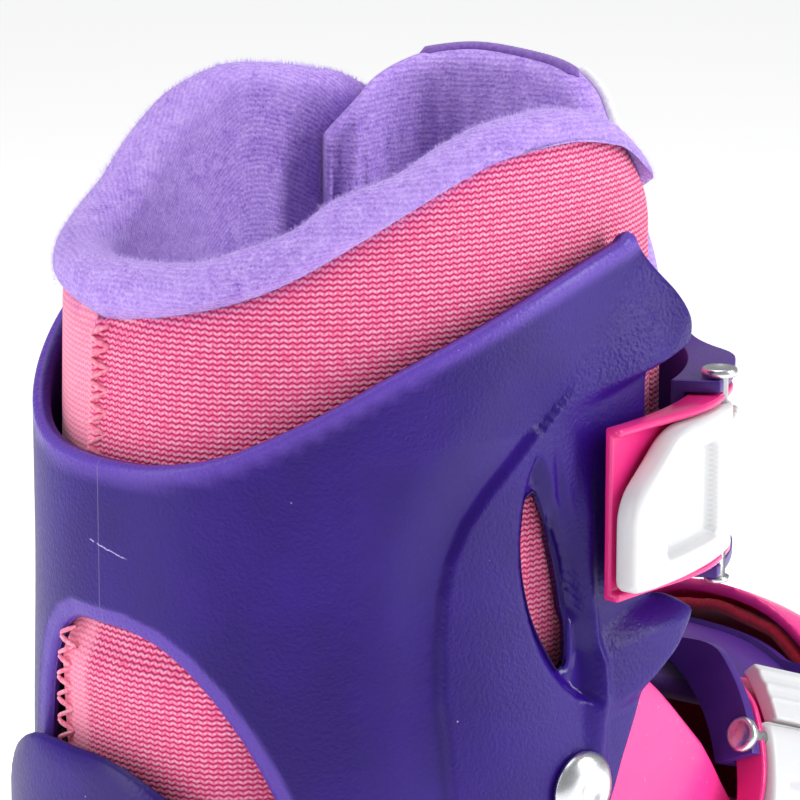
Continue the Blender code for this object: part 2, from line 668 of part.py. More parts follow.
def make_runner():
    """The steel runner: a flat working edge between two curved-up ends."""
    outline = []
    for step in spread(0, 90, 8):
        turn = math.radians(step)
        outline.append((-RUNNER_HALF_LENGTH + 0.030 * (1 - math.sin(turn)), 0.016 * (1 - math.cos(turn))))
    outline.reverse()
    for step in spread(0, 90, 8):
        turn = math.radians(step)
        outline.append((RUNNER_HALF_LENGTH - 0.036 * (1 - math.sin(turn)), 0.022 * (1 - math.cos(turn))))
    outline += [(0.104, RUNNER_HEIGHT - 0.003), (0.098, RUNNER_HEIGHT), (-0.098, RUNNER_HEIGHT),
                (-0.106, RUNNER_HEIGHT - 0.004)]
    rings = [[Vector((x, y, z)) for x, z in outline] for y in (-RUNNER_THICKNESS / 2, RUNNER_THICKNESS / 2)]
    runner = add_piece("runner", sweep(rings), "steel", SHELL)
    for name, x in SCREW_PLACES:
        hole = rod((x, -0.020, SCREW_Z), (x, 0.020, SCREW_Z), BOLT_RADIUS + GAP)
        cut(runner, add_cutter("runner_screw_hole_" + name, hole))
    return runner


def make_runner_screws():
    half = RAIL_HALF_WIDTH + GAP
    for name, x in SCREW_PLACES:
        profile = [(0, half + 0.0018), (0.0030, half + 0.0014), (0.0036, half), (BOLT_RADIUS, half),
                   (BOLT_RADIUS, -half), (0.0036, -half), (0.0030, -half - 0.0018), (0, -half - 0.0018)]
        turned("runner_screw_" + name, profile, (x, 0, SCREW_Z), (0, -1, 0), "steel", SHELL)


def make_holder_bolts(shell, holder):
    """Flush bolts from inside the boot down into the holder's towers."""
    top = SOLE_Z + SHELL_WALL - 0.0002
    bottom = top - BOLT_LENGTH
    for number, x in enumerate(BOLT_PLACES, 1):
        name = "holder_bolt_%d" % number
        profile = [(0, top), (BOLT_HEAD_RADIUS, top), (BOLT_HEAD_RADIUS, top - BOLT_HEAD),
                   (BOLT_RADIUS, top - BOLT_HEAD), (BOLT_RADIUS, bottom), (0, bottom)]
        turned(name, profile, (x, 0, 0), (0, 0, 1), "steel", SHELL)
        hole = add_cutter(name + "_hole", rod((x, 0, bottom - GAP), (x, 0, top + 0.004), BOLT_RADIUS + GAP))
        cut(shell, hole)
        cut(holder, hole)
        sink = rod((x, 0, top - BOLT_HEAD - GAP), (x, 0, top + 0.004), BOLT_HEAD_RADIUS + GAP)
        cut(shell, add_cutter(name + "_sink", sink))


def make_rivets():
    """Ankle rivets: head outside the cuff, tail inside the lower shell."""
    outside = CUFF_HALF_WIDTH + CUFF_FLARE + GAP
    inside = along(ANKLE_WIDTH, PIVOT_Z) - SHELL_WALL
    for side, name in ((-1, "outer"), (1, "inner")):
        profile = [(0, outside + 0.0024), (0.0040, outside + 0.0020), (0.0062, outside + 0.0008),
                   (0.0066, outside), (RIVET_RADIUS, outside), (RIVET_RADIUS, inside), (0, inside)]
        turned("ankle_rivet_" + name, profile, (PIVOT_X, 0, PIVOT_Z), (0, side, 0), "steel", SHELL)


# Buckles ----------------------------------------------------------------------------------------------------
MID = {LEG: 0.1770, INSTEP: 0.0}    # where a strap's middle line lies across its surface


def channel(wrap, angles, half_width, wall, bottom, flange):
    """A channel open outwards; its half width, bottom and flange are functions of the angle."""
    rings = []
    for angle in angles:
        wide = half_width(angle)
        low = bottom(angle)
        high = flange(angle)
        section = [(-wide, low), (wide, low), (wide, high), (wide - wall, high), (wide - wall, low + wall),
                   (-wide + wall, low + wall), (-wide + wall, high), (-wide, high)]
        rings.append([wrap.place(angle, MID[wrap] + across, out) for across, out in section])
    return sweep(rings)


def make_buckle(name, wrap, pin_angle, hinge_angle, strap_width, fixed_body):
    """A strap with its pin, frame, lever, release tab, ratchet spring and the rack that it catches."""
    middle = MID[wrap]
    strap_low = 0.0010
    frame_low = strap_low + STRAP_WALL + GAP
    frame_half = LEVER_HALF_WIDTH + GAP + FRAME_WALL
    strap_half = frame_half + GAP + STRAP_WALL
    lever_low = frame_low + FRAME_WALL + 0.0010
    pin_out = lever_low + LEVER_THICKNESS / 2
    free_angle = wrap.angle_from(pin_angle, -LEVER_LENGTH, pin_out)
    frame_back = wrap.angle_from(free_angle, 0.0045, pin_out)
    nose_angle = wrap.angle_from(pin_angle, 0.0160, pin_out)
    tab_back = wrap.angle_from(pin_angle, 0.0034, pin_out)
    strap_front = wrap.angle_from(pin_angle, -0.0034, pin_out)

    hinge_out = 0.0045
    hinge_end = wrap.angle_from(hinge_angle, 0.0030, hinge_out)
    hinge_start = wrap.angle_from(hinge_angle, -0.0062, hinge_out)

    def strap_low_side(angle):
        return strap_low + 0.0010 * ease(angle, wrap.angle_from(hinge_start, -0.003, 0), hinge_start)

    def strap_flange(angle):
        near_buckle = 0.0050 * (1 - ease(angle, nose_angle, nose_angle + 14))
        near_hinge = 0.0028 * ease(angle, wrap.angle_from(hinge_start, -0.008, 0), hinge_start)
        return strap_low + STRAP_WALL + 0.0010 + near_buckle + near_hinge

    def strap_half_width(angle):
        return strap_half + (strap_width / 2 - strap_half) * ease(angle, nose_angle + 6, nose_angle + 30)

    hinge = wrap.place(hinge_angle, middle, hinge_out)
    strap_body = make_body(name + "_strap_body", hinge, wrap.axis)
    pin_low = wrap.place(pin_angle, middle, pin_out)
    pin_axis = wrap.axis
    lever_body = make_body(name + "_lever_body", pin_low, pin_axis)
    count = int((hinge_start - strap_front) / 6) + 1
    angles = spread(strap_front, hinge_start, count) + spread(hinge_start, hinge_end, 3)[1:]
    shape = channel(wrap, angles, strap_half_width, STRAP_WALL, strap_low_side, strap_flange)
    strap = add_piece(name + "_strap", shape, "purple", strap_body)

    frame_angles = spread(frame_back, nose_angle, 12)
    shape = channel(wrap, frame_angles, lambda angle: frame_half, FRAME_WALL, lambda angle: frame_low,
                    lambda angle: frame_low + 0.0030 + 0.0028 * ease(angle, free_angle + 6, pin_angle - 4))
    frame = add_piece(name + "_buckle_frame", shape, "pink", strap_body)

    rings = []
    round_end = [(wrap.angle_from(pin_angle, distance, pin_out), share)
                 for distance, share in ((0.0018, 1.0), (0.0025, 0.72), (0.0029, 0.32))]
    for angle, share in [(angle, 1.0) for angle in spread(free_angle, pin_angle, 9)] + round_end:
        low = pin_out - LEVER_THICKNESS / 2 * share
        high = pin_out + LEVER_THICKNESS / 2 * share
        edge = 0.001 * share
        slant = 0.010 * (1 - ease(angle, free_angle, free_angle + 13))
        wide = LEVER_HALF_WIDTH
        section = [(-wide, low), (wide - slant, low), (wide - slant, high - edge),
                   (wide - slant - edge, high), (-wide + edge, high), (-wide, high - edge)]
        rings.append([wrap.place(angle, middle + across, out) for across, out in section])
    lever = add_piece(name + "_lever", sweep(rings), "white", lever_body)
    recess_back = wrap.angle_from(free_angle, 0.009, pin_out)
    recess_front = wrap.angle_from(pin_angle, -0.008, pin_out)
    recess = [(recess_back, middle - 0.008), (recess_front, middle - 0.008), (recess_front, middle + 0.008),
              (recess_back, middle + 0.001)]
    cut(lever, add_cutter(name + "_lever_recess", wrap.slab(recess, lever_low + 0.0028, 0.020)))

    release_body = make_body(name + "_release_body", wrap.place(tab_back, middle, pin_out), pin_axis)
    tab_half = LEVER_HALF_WIDTH - 0.004
    rings = []
    tab_start = wrap.angle_from(tab_back, 0.0003, pin_out)
    tab_end = wrap.angle_from(nose_angle, -0.0010, pin_out)
    for angle in spread(tab_start, tab_end, 5):
        low = lever_low + 0.0007
        high = lever_low + LEVER_THICKNESS * 0.85
        section = [(-tab_half, low), (tab_half, low), (tab_half, high), (-tab_half, high)]
        rings.append([wrap.place(angle, middle + across, out) for across, out in section])
    add_piece(name + "_release_tab", sweep(rings), "white", release_body)

    start = pin_low - pin_axis * 0.025
    end = pin_low + pin_axis * 0.025
    for piece in (strap, frame, lever):
        cut(piece, add_cutter(piece.name + "_pin_hole", rod(start, end, PIN_RADIUS + GAP, 12)))
    head = strap_half + GAP
    tail_radius = PIN_HEAD_RADIUS * 0.8
    profile = [(0, head + 0.0013), (PIN_HEAD_RADIUS - 0.0006, head + 0.0013),
               (PIN_HEAD_RADIUS, head + 0.0007), (PIN_HEAD_RADIUS, head), (PIN_RADIUS, head),
               (PIN_RADIUS, -head), (tail_radius, -head), (tail_radius, -head - 0.0009), (0, -head - 0.0009)]
    turned(name + "_buckle_pin", profile, pin_low, pin_axis, "steel", strap_body)

    rack_back = wrap.angle_from(frame_back, 0.003, 0.001)
    rack_front = wrap.angle_from(strap_front, -0.0010, 0.001)
    teeth = int(RACK_LENGTH / RACK_PITCH)
    rings = []
    for k in range(teeth):
        for share, high in ((0.0, 0.0009), (0.8, 0.0020)):
            angle = rack_back + (rack_front - rack_back) * (k + share) / (teeth - 0.2)
            section = [(-0.006, GAP), (0.006, GAP), (0.006, high), (-0.006, high)]
            rings.append([wrap.place(angle, middle + across, out) for across, out in section])
    add_piece(name + "_rack", sweep(rings), "white", fixed_body)

    rings = []
    for angle in spread(rack_back, rack_front, 5):
        section = [(-0.004, 0.0024), (0.004, 0.0024), (0.004, 0.0030), (-0.004, 0.0030)]
        rings.append([wrap.place(angle, middle + across, out) for across, out in section])
    add_piece(name + "_ratchet_spring", sweep(rings), "steel", strap_body)
    make_hinge(name, wrap, strap, hinge_angle, hinge_out, strap_width / 2, fixed_body)


def make_hinge(name, wrap, strap, angle, out, half_width, fixed_body):
    """The bracket and pin on the inner side that a strap swings on."""
    middle = MID[wrap]
    web_end = wrap.angle_from(angle, -0.0058, out)
    window_half = half_width - STRAP_WALL
    beyond = angle + 20
    window = [(web_end, middle - window_half), (beyond, middle - window_half),
              (beyond, middle + window_half), (web_end, middle + window_half)]
    cut(strap, add_cutter(name + "_hinge_window", wrap.slab(window, -0.004, 0.014)))
    lug = 0.0048
    rings = []
    for distance, high in ((-0.0028, out + 0.0020), (0.0, out + 0.0026), (0.0028, out + 0.0016),
                           (0.0034, 0.0024), (0.0075, 0.0022), (0.0125, 0.0020)):
        here = wrap.angle_from(angle, distance, out)
        section = [(-lug, GAP), (lug, GAP), (lug, high), (-lug, high)]
        rings.append([wrap.place(here, middle + across, height) for across, height in section])
    bracket = add_piece(name + "_hinge_bracket", sweep(rings), "purple", fixed_body)
    centre = wrap.place(angle, middle, out)
    hole = rod(centre - wrap.axis * 0.020, centre + wrap.axis * 0.020, PIN_RADIUS + GAP, 12)
    pin_hole = add_cutter(name + "_hinge_pin_hole", hole)
    cut(strap, pin_hole)
    cut(bracket, pin_hole)
    head = half_width + GAP
    profile = [(0, head + 0.0010), (0.0022, head + 0.0010), (0.0024, head), (PIN_RADIUS, head),
               (PIN_RADIUS, -head), (0.0022, -head), (0.0022, -head - 0.0009), (0, -head - 0.0009)]
    turned(name + "_hinge_pin", profile, centre, wrap.axis, "steel", fixed_body)
    rivet_angle = wrap.angle_from(angle, 0.0088, out)
    foot = wrap.place(rivet_angle, middle, 0)
    outward = wrap.facing(rivet_angle)
    hole = rod(foot - outward * 0.010, foot + outward * 0.010, 0.0014 + GAP, 12)
    cut(bracket, add_cutter(name + "_hinge_rivet_hole", hole))
    profile = [(0, 0.0044), (0.0018, 0.0040), (0.0026, 0.0028), (0.0014, 0.0028), (0.0014, GAP), (0, GAP)]
    turned(name + "_hinge_rivet", profile, foot, outward, "steel", fixed_body)


def make_straps():
    make_buckle("cuff", LEG, 130.5, 236, 0.0205, CUFF)
    make_buckle("instep", INSTEP, 119.0, 258, 0.0208, SHELL)


make_cuff()
make_collar()
make_tongue()
make_tongue_foot()
lower_shell = make_lower_shell()
make_heel_counter()
make_liner_foot()
make_toe_shell()
make_liner_toe()
make_insole()
make_size_button()
blade_holder = make_holder()
make_runner()
make_runner_screws()
make_holder_bolts(lower_shell, blade_holder)
make_rivets()
make_straps()
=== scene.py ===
import math

import bmesh
import bpy
import numpy as np
from mathutils import Matrix, Vector, geometry


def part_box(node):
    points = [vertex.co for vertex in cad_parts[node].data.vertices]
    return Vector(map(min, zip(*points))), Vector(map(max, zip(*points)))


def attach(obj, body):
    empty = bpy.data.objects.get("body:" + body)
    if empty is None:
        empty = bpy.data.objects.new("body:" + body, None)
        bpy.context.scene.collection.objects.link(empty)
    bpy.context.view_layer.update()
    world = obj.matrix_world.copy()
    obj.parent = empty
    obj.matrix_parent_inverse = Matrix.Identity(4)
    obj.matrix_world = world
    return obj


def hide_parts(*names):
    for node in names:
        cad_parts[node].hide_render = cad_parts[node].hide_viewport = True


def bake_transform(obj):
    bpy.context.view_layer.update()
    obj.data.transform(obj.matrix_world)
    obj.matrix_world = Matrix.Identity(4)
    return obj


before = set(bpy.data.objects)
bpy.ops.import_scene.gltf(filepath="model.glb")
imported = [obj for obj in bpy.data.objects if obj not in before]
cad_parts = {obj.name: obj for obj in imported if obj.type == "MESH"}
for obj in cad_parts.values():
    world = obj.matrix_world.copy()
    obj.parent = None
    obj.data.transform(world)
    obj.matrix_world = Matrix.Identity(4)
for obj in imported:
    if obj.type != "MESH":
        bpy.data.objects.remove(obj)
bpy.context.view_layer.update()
random = np.random.default_rng(7)
print("frame loaded:", len(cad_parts), "nodes")


# shader wiring: a socket with Python's operators, and one method that adds any other node

class Link:
    def __init__(self, sheet, socket):
        self.sheet = sheet
        self.socket = socket

    def maths(self, operation, *others):
        return self.sheet.node("Math", {"operation": operation}, dict(enumerate((self, *others))))

    def __add__(self, other):
        return self.maths("ADD", other)

    def __sub__(self, other):
        return self.maths("SUBTRACT", other)

    def __rsub__(self, other):
        return self.sheet.node("Math", {"operation": "SUBTRACT"}, {0: other, 1: self})

    def __mul__(self, other):
        return self.maths("MULTIPLY", other)

    def __truediv__(self, other):
        return self.maths("DIVIDE", other)

    def __gt__(self, other):
        return self.maths("GREATER_THAN", other)

    __radd__ = __add__
    __rmul__ = __mul__

    def sine(self):
        return self.maths("SINE")

    def part(self):  # what is left after the whole number
        return self.maths("FRACT")

    def size(self):
        return self.maths("ABSOLUTE")

    def limited(self):
        return self.sheet.node("Clamp", {}, {"Value": self})

    def between(self, low, high):  # 0 below low, 1 above high, smooth between
        settings = {"interpolation_type": "SMOOTHSTEP"}
        return self.sheet.node("MapRange", settings, {"Value": self, "From Min": low, "From Max": high})


class Finish:
    def __init__(self, name, **fixed):
        self.material = bpy.data.materials.new(name)
        self.material.use_nodes = True
        self.nodes = self.material.node_tree.nodes
        self.links = self.material.node_tree.links
        self.shader = self.nodes["Principled BSDF"]
        for words, value in fixed.items():
            self.shader.inputs[words.replace("_", " ")].default_value = value

    def plug(self, socket, value):
        if isinstance(value, Link):
            self.links.new(value.socket, socket)
        elif socket.type == "RGBA" and len(value) == 3:
            socket.default_value = (*value, 1.0)
        else:
            socket.default_value = value

    def node(self, kind, settings=None, sockets=None, output=0):
        made = self.nodes.new("ShaderNode" + kind)
        for key, value in (settings or {}).items():
            if key == "stops":
                while len(made.color_ramp.elements) < len(value):
                    made.color_ramp.elements.new(1.0)
                for stop, (place, colour) in zip(made.color_ramp.elements, value):
                    stop.position = place
                    stop.color = (*colour, 1.0)
            else:
                setattr(made, key, value)
        for key, value in (sockets or {}).items():
            self.plug(made.inputs[key], value)
        return Link(self, made.outputs[output])

    def place(self):  # metres on the piece itself
        return self.node("TexCoord", output="Object")

    def cloth(self):  # millimetres along and across the cloth, as two values
        both = self.node("SeparateXYZ", {}, {0: self.node("UVMap", {"uv_map": "cloth"})})
        return both, Link(self, both.socket.node.outputs[1])

    def mark(self, name):  # a value kept on the mesh's points
        return self.node("Attribute", {"attribute_name": name}, output="Fac")

    def grain(self, scale, detail=2.0, rough=0.5, where=None, warp=0.0):
        sockets = {"Vector": where or self.place(), "Scale": scale, "Detail": detail, "Roughness": rough,
                   "Distortion": warp}
        return self.node("TexNoise", {}, sockets)

    def cells(self, scale, where=None, feature="F1"):
        sockets = {"Vector": where or self.place(), "Scale": scale}
        return self.node("TexVoronoi", {"feature": feature}, sockets)

    def mix(self, share, first, second):
        made = self.node("Mix", {"data_type": "RGBA"}, {0: share}, output=2)
        self.plug(made.socket.node.inputs[6], first)
        self.plug(made.socket.node.inputs[7], second)
        return made

    def ramp(self, value, stops):
        return self.node("ValToRGB", {"stops": stops}, {0: value})

    def bump(self, height, distance, strength=1.0, below=None):
        sockets = {"Height": height, "Distance": distance, "Strength": strength}
        if below:
            sockets["Normal"] = below
        return self.node("Bump", {}, sockets)

    def wear(self, **links):  # the sockets that change over the surface
        for words, value in links.items():
            self.plug(self.shader.inputs[words.replace("_", " ")], value)
        return self.material


# finishes

plastics = {
    "purpleDeep": (0.019, 0.0020, 0.140),
    "purpleLit": (0.028, 0.0040, 0.205),
    "strapPurple": (0.060, 0.018, 0.210),
    "pink": (1.000, 0.050, 0.330),
    "pinkDeep": (0.780, 0.012, 0.190),
    "white": (0.700, 0.705, 0.720),
    "grainSize": 1500.0,        # bumps per metre of the moulded grain
    "speckSize": 260.0,
}


def mouldedPurple(name, colour, lit, grainDepth, roughness, polishMark=False):
    finish = Finish(name, IOR=1.5, Specular_IOR_Level=0.3)
    fine = finish.grain(plastics["grainSize"], 2.0, 0.55)
    broad = finish.grain(45.0, 3.0, 0.55)
    specks = finish.cells(plastics["speckSize"])
    dust = 1 - specks.between(0.030, 0.055)
    dust = dust * (finish.grain(60.0, 1.0) > 0.60)
    body = finish.mix(broad.between(0.35, 0.70), colour, lit)
    body = finish.mix(dust * 0.55, body, (0.55, 0.45, 0.75))
    polish = finish.mark("polish") if polishMark else finish.grain(20.0).between(0.9, 1.0)
    rough = roughness + (fine - 0.5) * 0.16 + (broad - 0.5) * 0.10 - polish * (roughness - 0.20)
    height = fine * (1 - polish * 0.93)
    return finish.wear(Base_Color=body, Roughness=rough.limited(),
                       Normal=finish.bump(height, grainDepth, 0.9))


def cuffPlastic():
    finish = Finish("cuffPlastic", IOR=1.5, Specular_IOR_Level=0.26)
    fine = finish.grain(plastics["grainSize"], 2.0, 0.6)
    broad = finish.grain(38.0, 3.0, 0.55)
    along, height = finish.cloth()
    polish, coarse, edge = finish.mark("polish"), finish.mark("coarse"), finish.mark("edge")
    specks = 1 - finish.cells(170.0).between(0.020, 0.040)
    dust = specks * (finish.grain(90.0, 1.0) > 0.58)
    line = 1 - (along - 1.0).size().between(0.05, 0.14)                  # where the mould's halves met
    line = line * height.between(150.0, 166.0)
    wander = finish.grain(900.0, 2.0) * 0.5 - 0.25
    sag = height - 174.6 + (along - 2.0) * 0.22 + wander                 # a thin hooked scratch
    reach = (along + 1.6).between(0.0, 0.6) * (1 - (along - 6.2).between(0.0, 1.4))
    scratch = (1 - sag.size().between(0.06, 0.16)) * reach * finish.grain(2200.0, 1.0).between(0.36, 0.46)
    body = finish.mix(broad.between(0.30, 0.72), plastics["purpleDeep"], plastics["purpleLit"])
    # painted highlight: the edge mark lightens the rim and the bevelled band round the rear arch to a
    # blue-purple, standing for light caught by the rounded and bevelled edges
    body = finish.mix(edge * 0.55, body, (0.20, 0.10, 0.62))
    body = finish.mix(line * 0.22 + scratch * 0.75 + dust * 0.6, body, (0.62, 0.52, 0.86))
    rough = 0.40 + (fine - 0.5) * 0.22 - polish * 0.20 + coarse * 0.04 - edge * 0.12 + scratch * 0.2
    bumps = finish.cells(1500.0, feature="SMOOTH_F1")
    relief = fine * (1 - polish * 0.96) + bumps * coarse * 1.3 + line * 0.9
    return finish.wear(Base_Color=body, Roughness=rough.limited(), Normal=finish.bump(relief, 0.00016, 0.85))


def pinkPlastic(name, colour, deep, roughness=0.24):
    finish = Finish(name, IOR=1.5, Specular_IOR_Level=0.5, Subsurface_Weight=0.12, Subsurface_Scale=0.004)
    broad = finish.grain(60.0, 2.0)
    fine = finish.grain(2600.0, 2.0)
    body = finish.mix(broad.between(0.3, 0.75) * 0.35, colour, deep)
    scuffs = finish.grain(700.0, 3.0, 0.6).between(0.66, 0.74) * 0.12
    return finish.wear(Base_Color=finish.mix(scuffs, body, (1.0, 0.45, 0.62)),
                       Roughness=roughness + (broad - 0.5) * 0.10 + (fine - 0.5) * 0.08 + scuffs,
                       Normal=finish.bump(fine + broad * 2.0, 0.00004, 0.6))


def whitePlastic():
    finish = Finish("whitePlastic", IOR=1.5, Subsurface_Weight=0.15, Subsurface_Scale=0.003)
    broad = finish.grain(70.0, 2.0)
    fine = finish.grain(2200.0, 2.0)
    marks = finish.grain(500.0, 4.0, 0.65, warp=0.6).between(0.70, 0.78)
    body = finish.mix(broad.between(0.3, 0.8) * 0.5, plastics["white"], (0.64, 0.645, 0.67))
    return finish.wear(Base_Color=finish.mix(marks * 0.25, body, (0.55, 0.54, 0.58)),
                       Roughness=0.34 + (fine - 0.5) * 0.18 + marks * 0.15,
                       Normal=finish.bump(fine, 0.00003, 0.5))


def turnedSteel():
    finish = Finish("turnedSteel", Metallic=1.0)
    fine = finish.grain(1800.0, 3.0, 0.6)
    broad = finish.grain(220.0, 2.0)
    body = finish.mix(broad, (0.58, 0.60, 0.63), (0.80, 0.81, 0.83))
    return finish.wear(Base_Color=body, Roughness=0.22 + fine * 0.14, Normal=finish.bump(fine, 0.00003, 0.5))


def groundSteel():
    finish = Finish("groundSteel", Metallic=1.0)
    stretched = finish.node("Mapping", {}, {"Vector": finish.place(), "Scale": (12.0, 1.0, 900.0)})
    brushed = finish.node("TexNoise", {}, {"Vector": stretched, "Scale": 4.0, "Detail": 4.0})
    broad = finish.grain(50.0, 3.0)
    height = finish.node("SeparateXYZ", {}, {0: finish.place()}, output=2)
    groundEdge = 1 - height.between(0.0025, 0.0035)
    body = finish.mix(broad, (0.50, 0.51, 0.54), (0.68, 0.69, 0.72))
    body = finish.mix(groundEdge * 0.7, body, (0.86, 0.87, 0.90))
    return finish.wear(Base_Color=body, Roughness=0.20 + brushed * 0.22 - groundEdge * 0.10,
                       Normal=finish.bump(brushed, 0.00003, 0.6))


knit = {
    "rowPitch": 0.92,      # millimetres between zig-zag rows
    "zigPitch": 1.42,      # millimetres along a row for one zig and zag
    "zigHeight": 0.34,     # of a row
    # light, middle and dark paint light on the knit: light is a painted highlight on the thread crests, dark
    # a painted shade in the valleys between rows
    "light": (1.000, 0.440, 0.620),
    "middle": (1.000, 0.150, 0.340),
    "dark": (0.620, 0.016, 0.130),
}


def knitCloth():
    finish = Finish("knitCloth", Sheen_Weight=0.25, Sheen_Roughness=0.4, Specular_IOR_Level=0.3)
    along, across = finish.cloth()
    where = finish.place()
    sway = (finish.grain(130.0, 2.0, where=where) - 0.5) * 0.35
    turn = (along / knit["zigPitch"] + sway * 0.3).part()
    zig = (turn - 0.5).size() * 2.0                                       # 0 to 1 and back, once a pitch
    row = (across / knit["rowPitch"] + zig * knit["zigHeight"] + sway).part()
    thread = 1 - (row - 0.5).size() * 2.0                                 # 1 in the middle of a row
    knot = 1 - (zig - 0.5).size() * 2.0
    uneven = finish.grain(900.0, 2.0, where=where)
    height = thread.between(0.05, 0.75) * (0.72 + knot * 0.28)
    # painted highlight and shade: the colour follows the thread's height, with some random unevenness. It is
    # pale pink on the crests and dark red in the valleys and at the zig-zag's turns
    shine = height * (0.55 + uneven * 0.9)
    colour = finish.ramp(shine, [(0.05, knit["dark"]), (0.38, knit["middle"]), (0.70, knit["middle"]),
                                 (0.98, knit["light"])])
    pale = finish.mark("pale")
    colour = finish.mix(pale * 0.55, colour, (1.0, 0.36, 0.50))
    stray = finish.grain(1700.0, 1.0, where=where).between(0.70, 0.76)
    colour = finish.mix(stray * 0.35, colour, (1.0, 0.78, 0.85))
    relief = height * (1 - pale * 0.75) + uneven * 0.35
    return finish.wear(Base_Color=colour, Roughness=0.62 + (1 - height) * 0.3,
                       Normal=finish.bump(relief, 0.00028, 0.9))


fleece = {
    "pile": 1900.0,        # tufts per metre
    "ribPitch": 0.95,      # millimetres between the faint ribs of its backing
    # light, middle and dark paint light on the pile: dark is a painted shade in its hollows, light a painted
    # highlight on the tuft tops
    "light": (0.640, 0.460, 0.930),
    "middle": (0.430, 0.265, 0.760),
    "dark": (0.235, 0.110, 0.520),
}


def fleeceCloth():
    finish = Finish("fleeceCloth", Sheen_Weight=0.6, Sheen_Roughness=0.35, Sheen_Tint=(0.85, 0.75, 1.0, 1.0),
                    Specular_IOR_Level=0.15)
    across = finish.cloth()[1]
    where = finish.place()
    tufts = finish.grain(fleece["pile"], 3.0, 0.65, where=where)
    clumps = finish.grain(420.0, 3.0, 0.6, where=where, warp=0.5)
    patches = finish.grain(55.0, 2.0, where=where)
    lean = (clumps - 0.5) * 1.4
    rib = ((across + lean) * (6.2832 / fleece["ribPitch"])).sine() * 0.5 + 0.5
    depth = tufts * 0.58 + clumps * 0.34 + rib * 0.08
    # painted shade and highlight: the colour follows the pile's depth, dark where it is low and light on the
    # tufts
    colour = finish.ramp(depth, [(0.30, fleece["dark"]), (0.47, fleece["middle"]), (0.66, fleece["light"])])
    colour = finish.mix(patches.between(0.35, 0.75) * 0.25, colour, fleece["light"])
    return finish.wear(Base_Color=colour, Roughness=0.85 + tufts * 0.15,
                       Normal=finish.bump(tufts * 0.5 + clumps * 0.7 + rib * 0.14, 0.00050, 0.75))


def yarn(name, colour, tip):
    finish = Finish(name, Sheen_Weight=0.3)
    shade = finish.grain(1500.0, 2.0)
    body = finish.mix(shade.between(0.3, 0.7), colour, tip)
    return finish.wear(Base_Color=body, Roughness=0.7 + shade * 0.25)


def foamCloth():
    finish = Finish("foamCloth", Sheen_Weight=0.2)
    fine = finish.cells(900.0)
    broad = finish.grain(60.0, 3.0)
    body = finish.mix(fine.between(0.1, 0.7), (0.035, 0.030, 0.045), (0.110, 0.095, 0.140))
    body = finish.mix(broad * 0.4, body, (0.16, 0.13, 0.20))
    return finish.wear(Base_Color=body, Roughness=0.85 + fine * 0.1,
                       Normal=finish.bump(fine, 0.0002, 0.6))


def printedPatch():
    finish = Finish("tonguePatch", Specular_IOR_Level=0.4)
    broad = finish.grain(300.0, 3.0, 0.6, warp=0.8)
    body = finish.mix(broad.between(0.45, 0.62), (0.62, 0.60, 0.62), (0.86, 0.72, 0.76))
    return finish.wear(Base_Color=body, Roughness=0.42 + broad * 0.2, Normal=finish.bump(broad, 0.0001, 0.4))


finishes = {
    "cuff": cuffPlastic(),
    "counter": mouldedPurple("counterPlastic", plastics["purpleDeep"], plastics["purpleLit"], 0.00012, 0.42,
                             True),
    "strap": mouldedPurple("strapPlastic", plastics["strapPurple"], (0.085, 0.028, 0.28), 0.00004, 0.34),
    "pink": pinkPlastic("pinkShellPlastic", plastics["pink"], plastics["pinkDeep"]),
    "frame": pinkPlastic("pinkFramePlastic", (0.90, 0.030, 0.250), (0.55, 0.010, 0.140), 0.20),
    "white": whitePlastic(),
    "steel": turnedSteel(),
    "blade": groundSteel(),
    "knit": knitCloth(),
    "fleece": fleeceCloth(),
    "foam": foamCloth(),
    "padCloth": yarn("padCloth", (0.052, 0.014, 0.170), (0.090, 0.026, 0.270)),
    "lining": yarn("toeLining", (0.520, 0.004, 0.020), (0.700, 0.012, 0.060)),
    "nap": yarn("napFibre", (0.46, 0.30, 0.80), (0.74, 0.60, 0.97)),
    "thread": yarn("seamThread", (0.95, 0.16, 0.32), (1.0, 0.42, 0.54)),
    "band": yarn("tongueBand", (0.16, 0.07, 0.36), (0.24, 0.12, 0.48)),
    "piping": yarn("whitePiping", (0.78, 0.76, 0.80), (0.92, 0.91, 0.94)),
    "patch": printedPatch(),
}
print("finishes made:", len(finishes))


# shapes

def ease(value, low, high):
    share = np.clip((np.asarray(value, float) - low) / (high - low), 0.0, 1.0)
    return share * share * (3 - 2 * share)


def curveThrough(points, position):  # a smooth curve with no overshoot, flat beyond its ends
    xs, ys = np.array(points, float).T
    rises = np.diff(ys) / np.diff(xs)
    slopes = np.concatenate([rises[:1], np.zeros(len(xs) - 2), rises[-1:]])
    for k in range(1, len(xs) - 1):
        before, after = rises[k - 1], rises[k]
        slopes[k] = 2 * before * after / (before + after) if before * after > 0 else 0.0
    position = np.clip(np.asarray(position, float), xs[0], xs[-1])
    k = np.clip(np.searchsorted(xs, position, side="right") - 1, 0, len(rises) - 1)
    width = xs[k + 1] - xs[k]
    share = (position - xs[k]) / width
    rest = 1 - share
    bend = rest * (slopes[k] - rises[k]) - share * (slopes[k + 1] - rises[k])
    return ys[k] * rest + ys[k + 1] * share + share * rest * width * bend


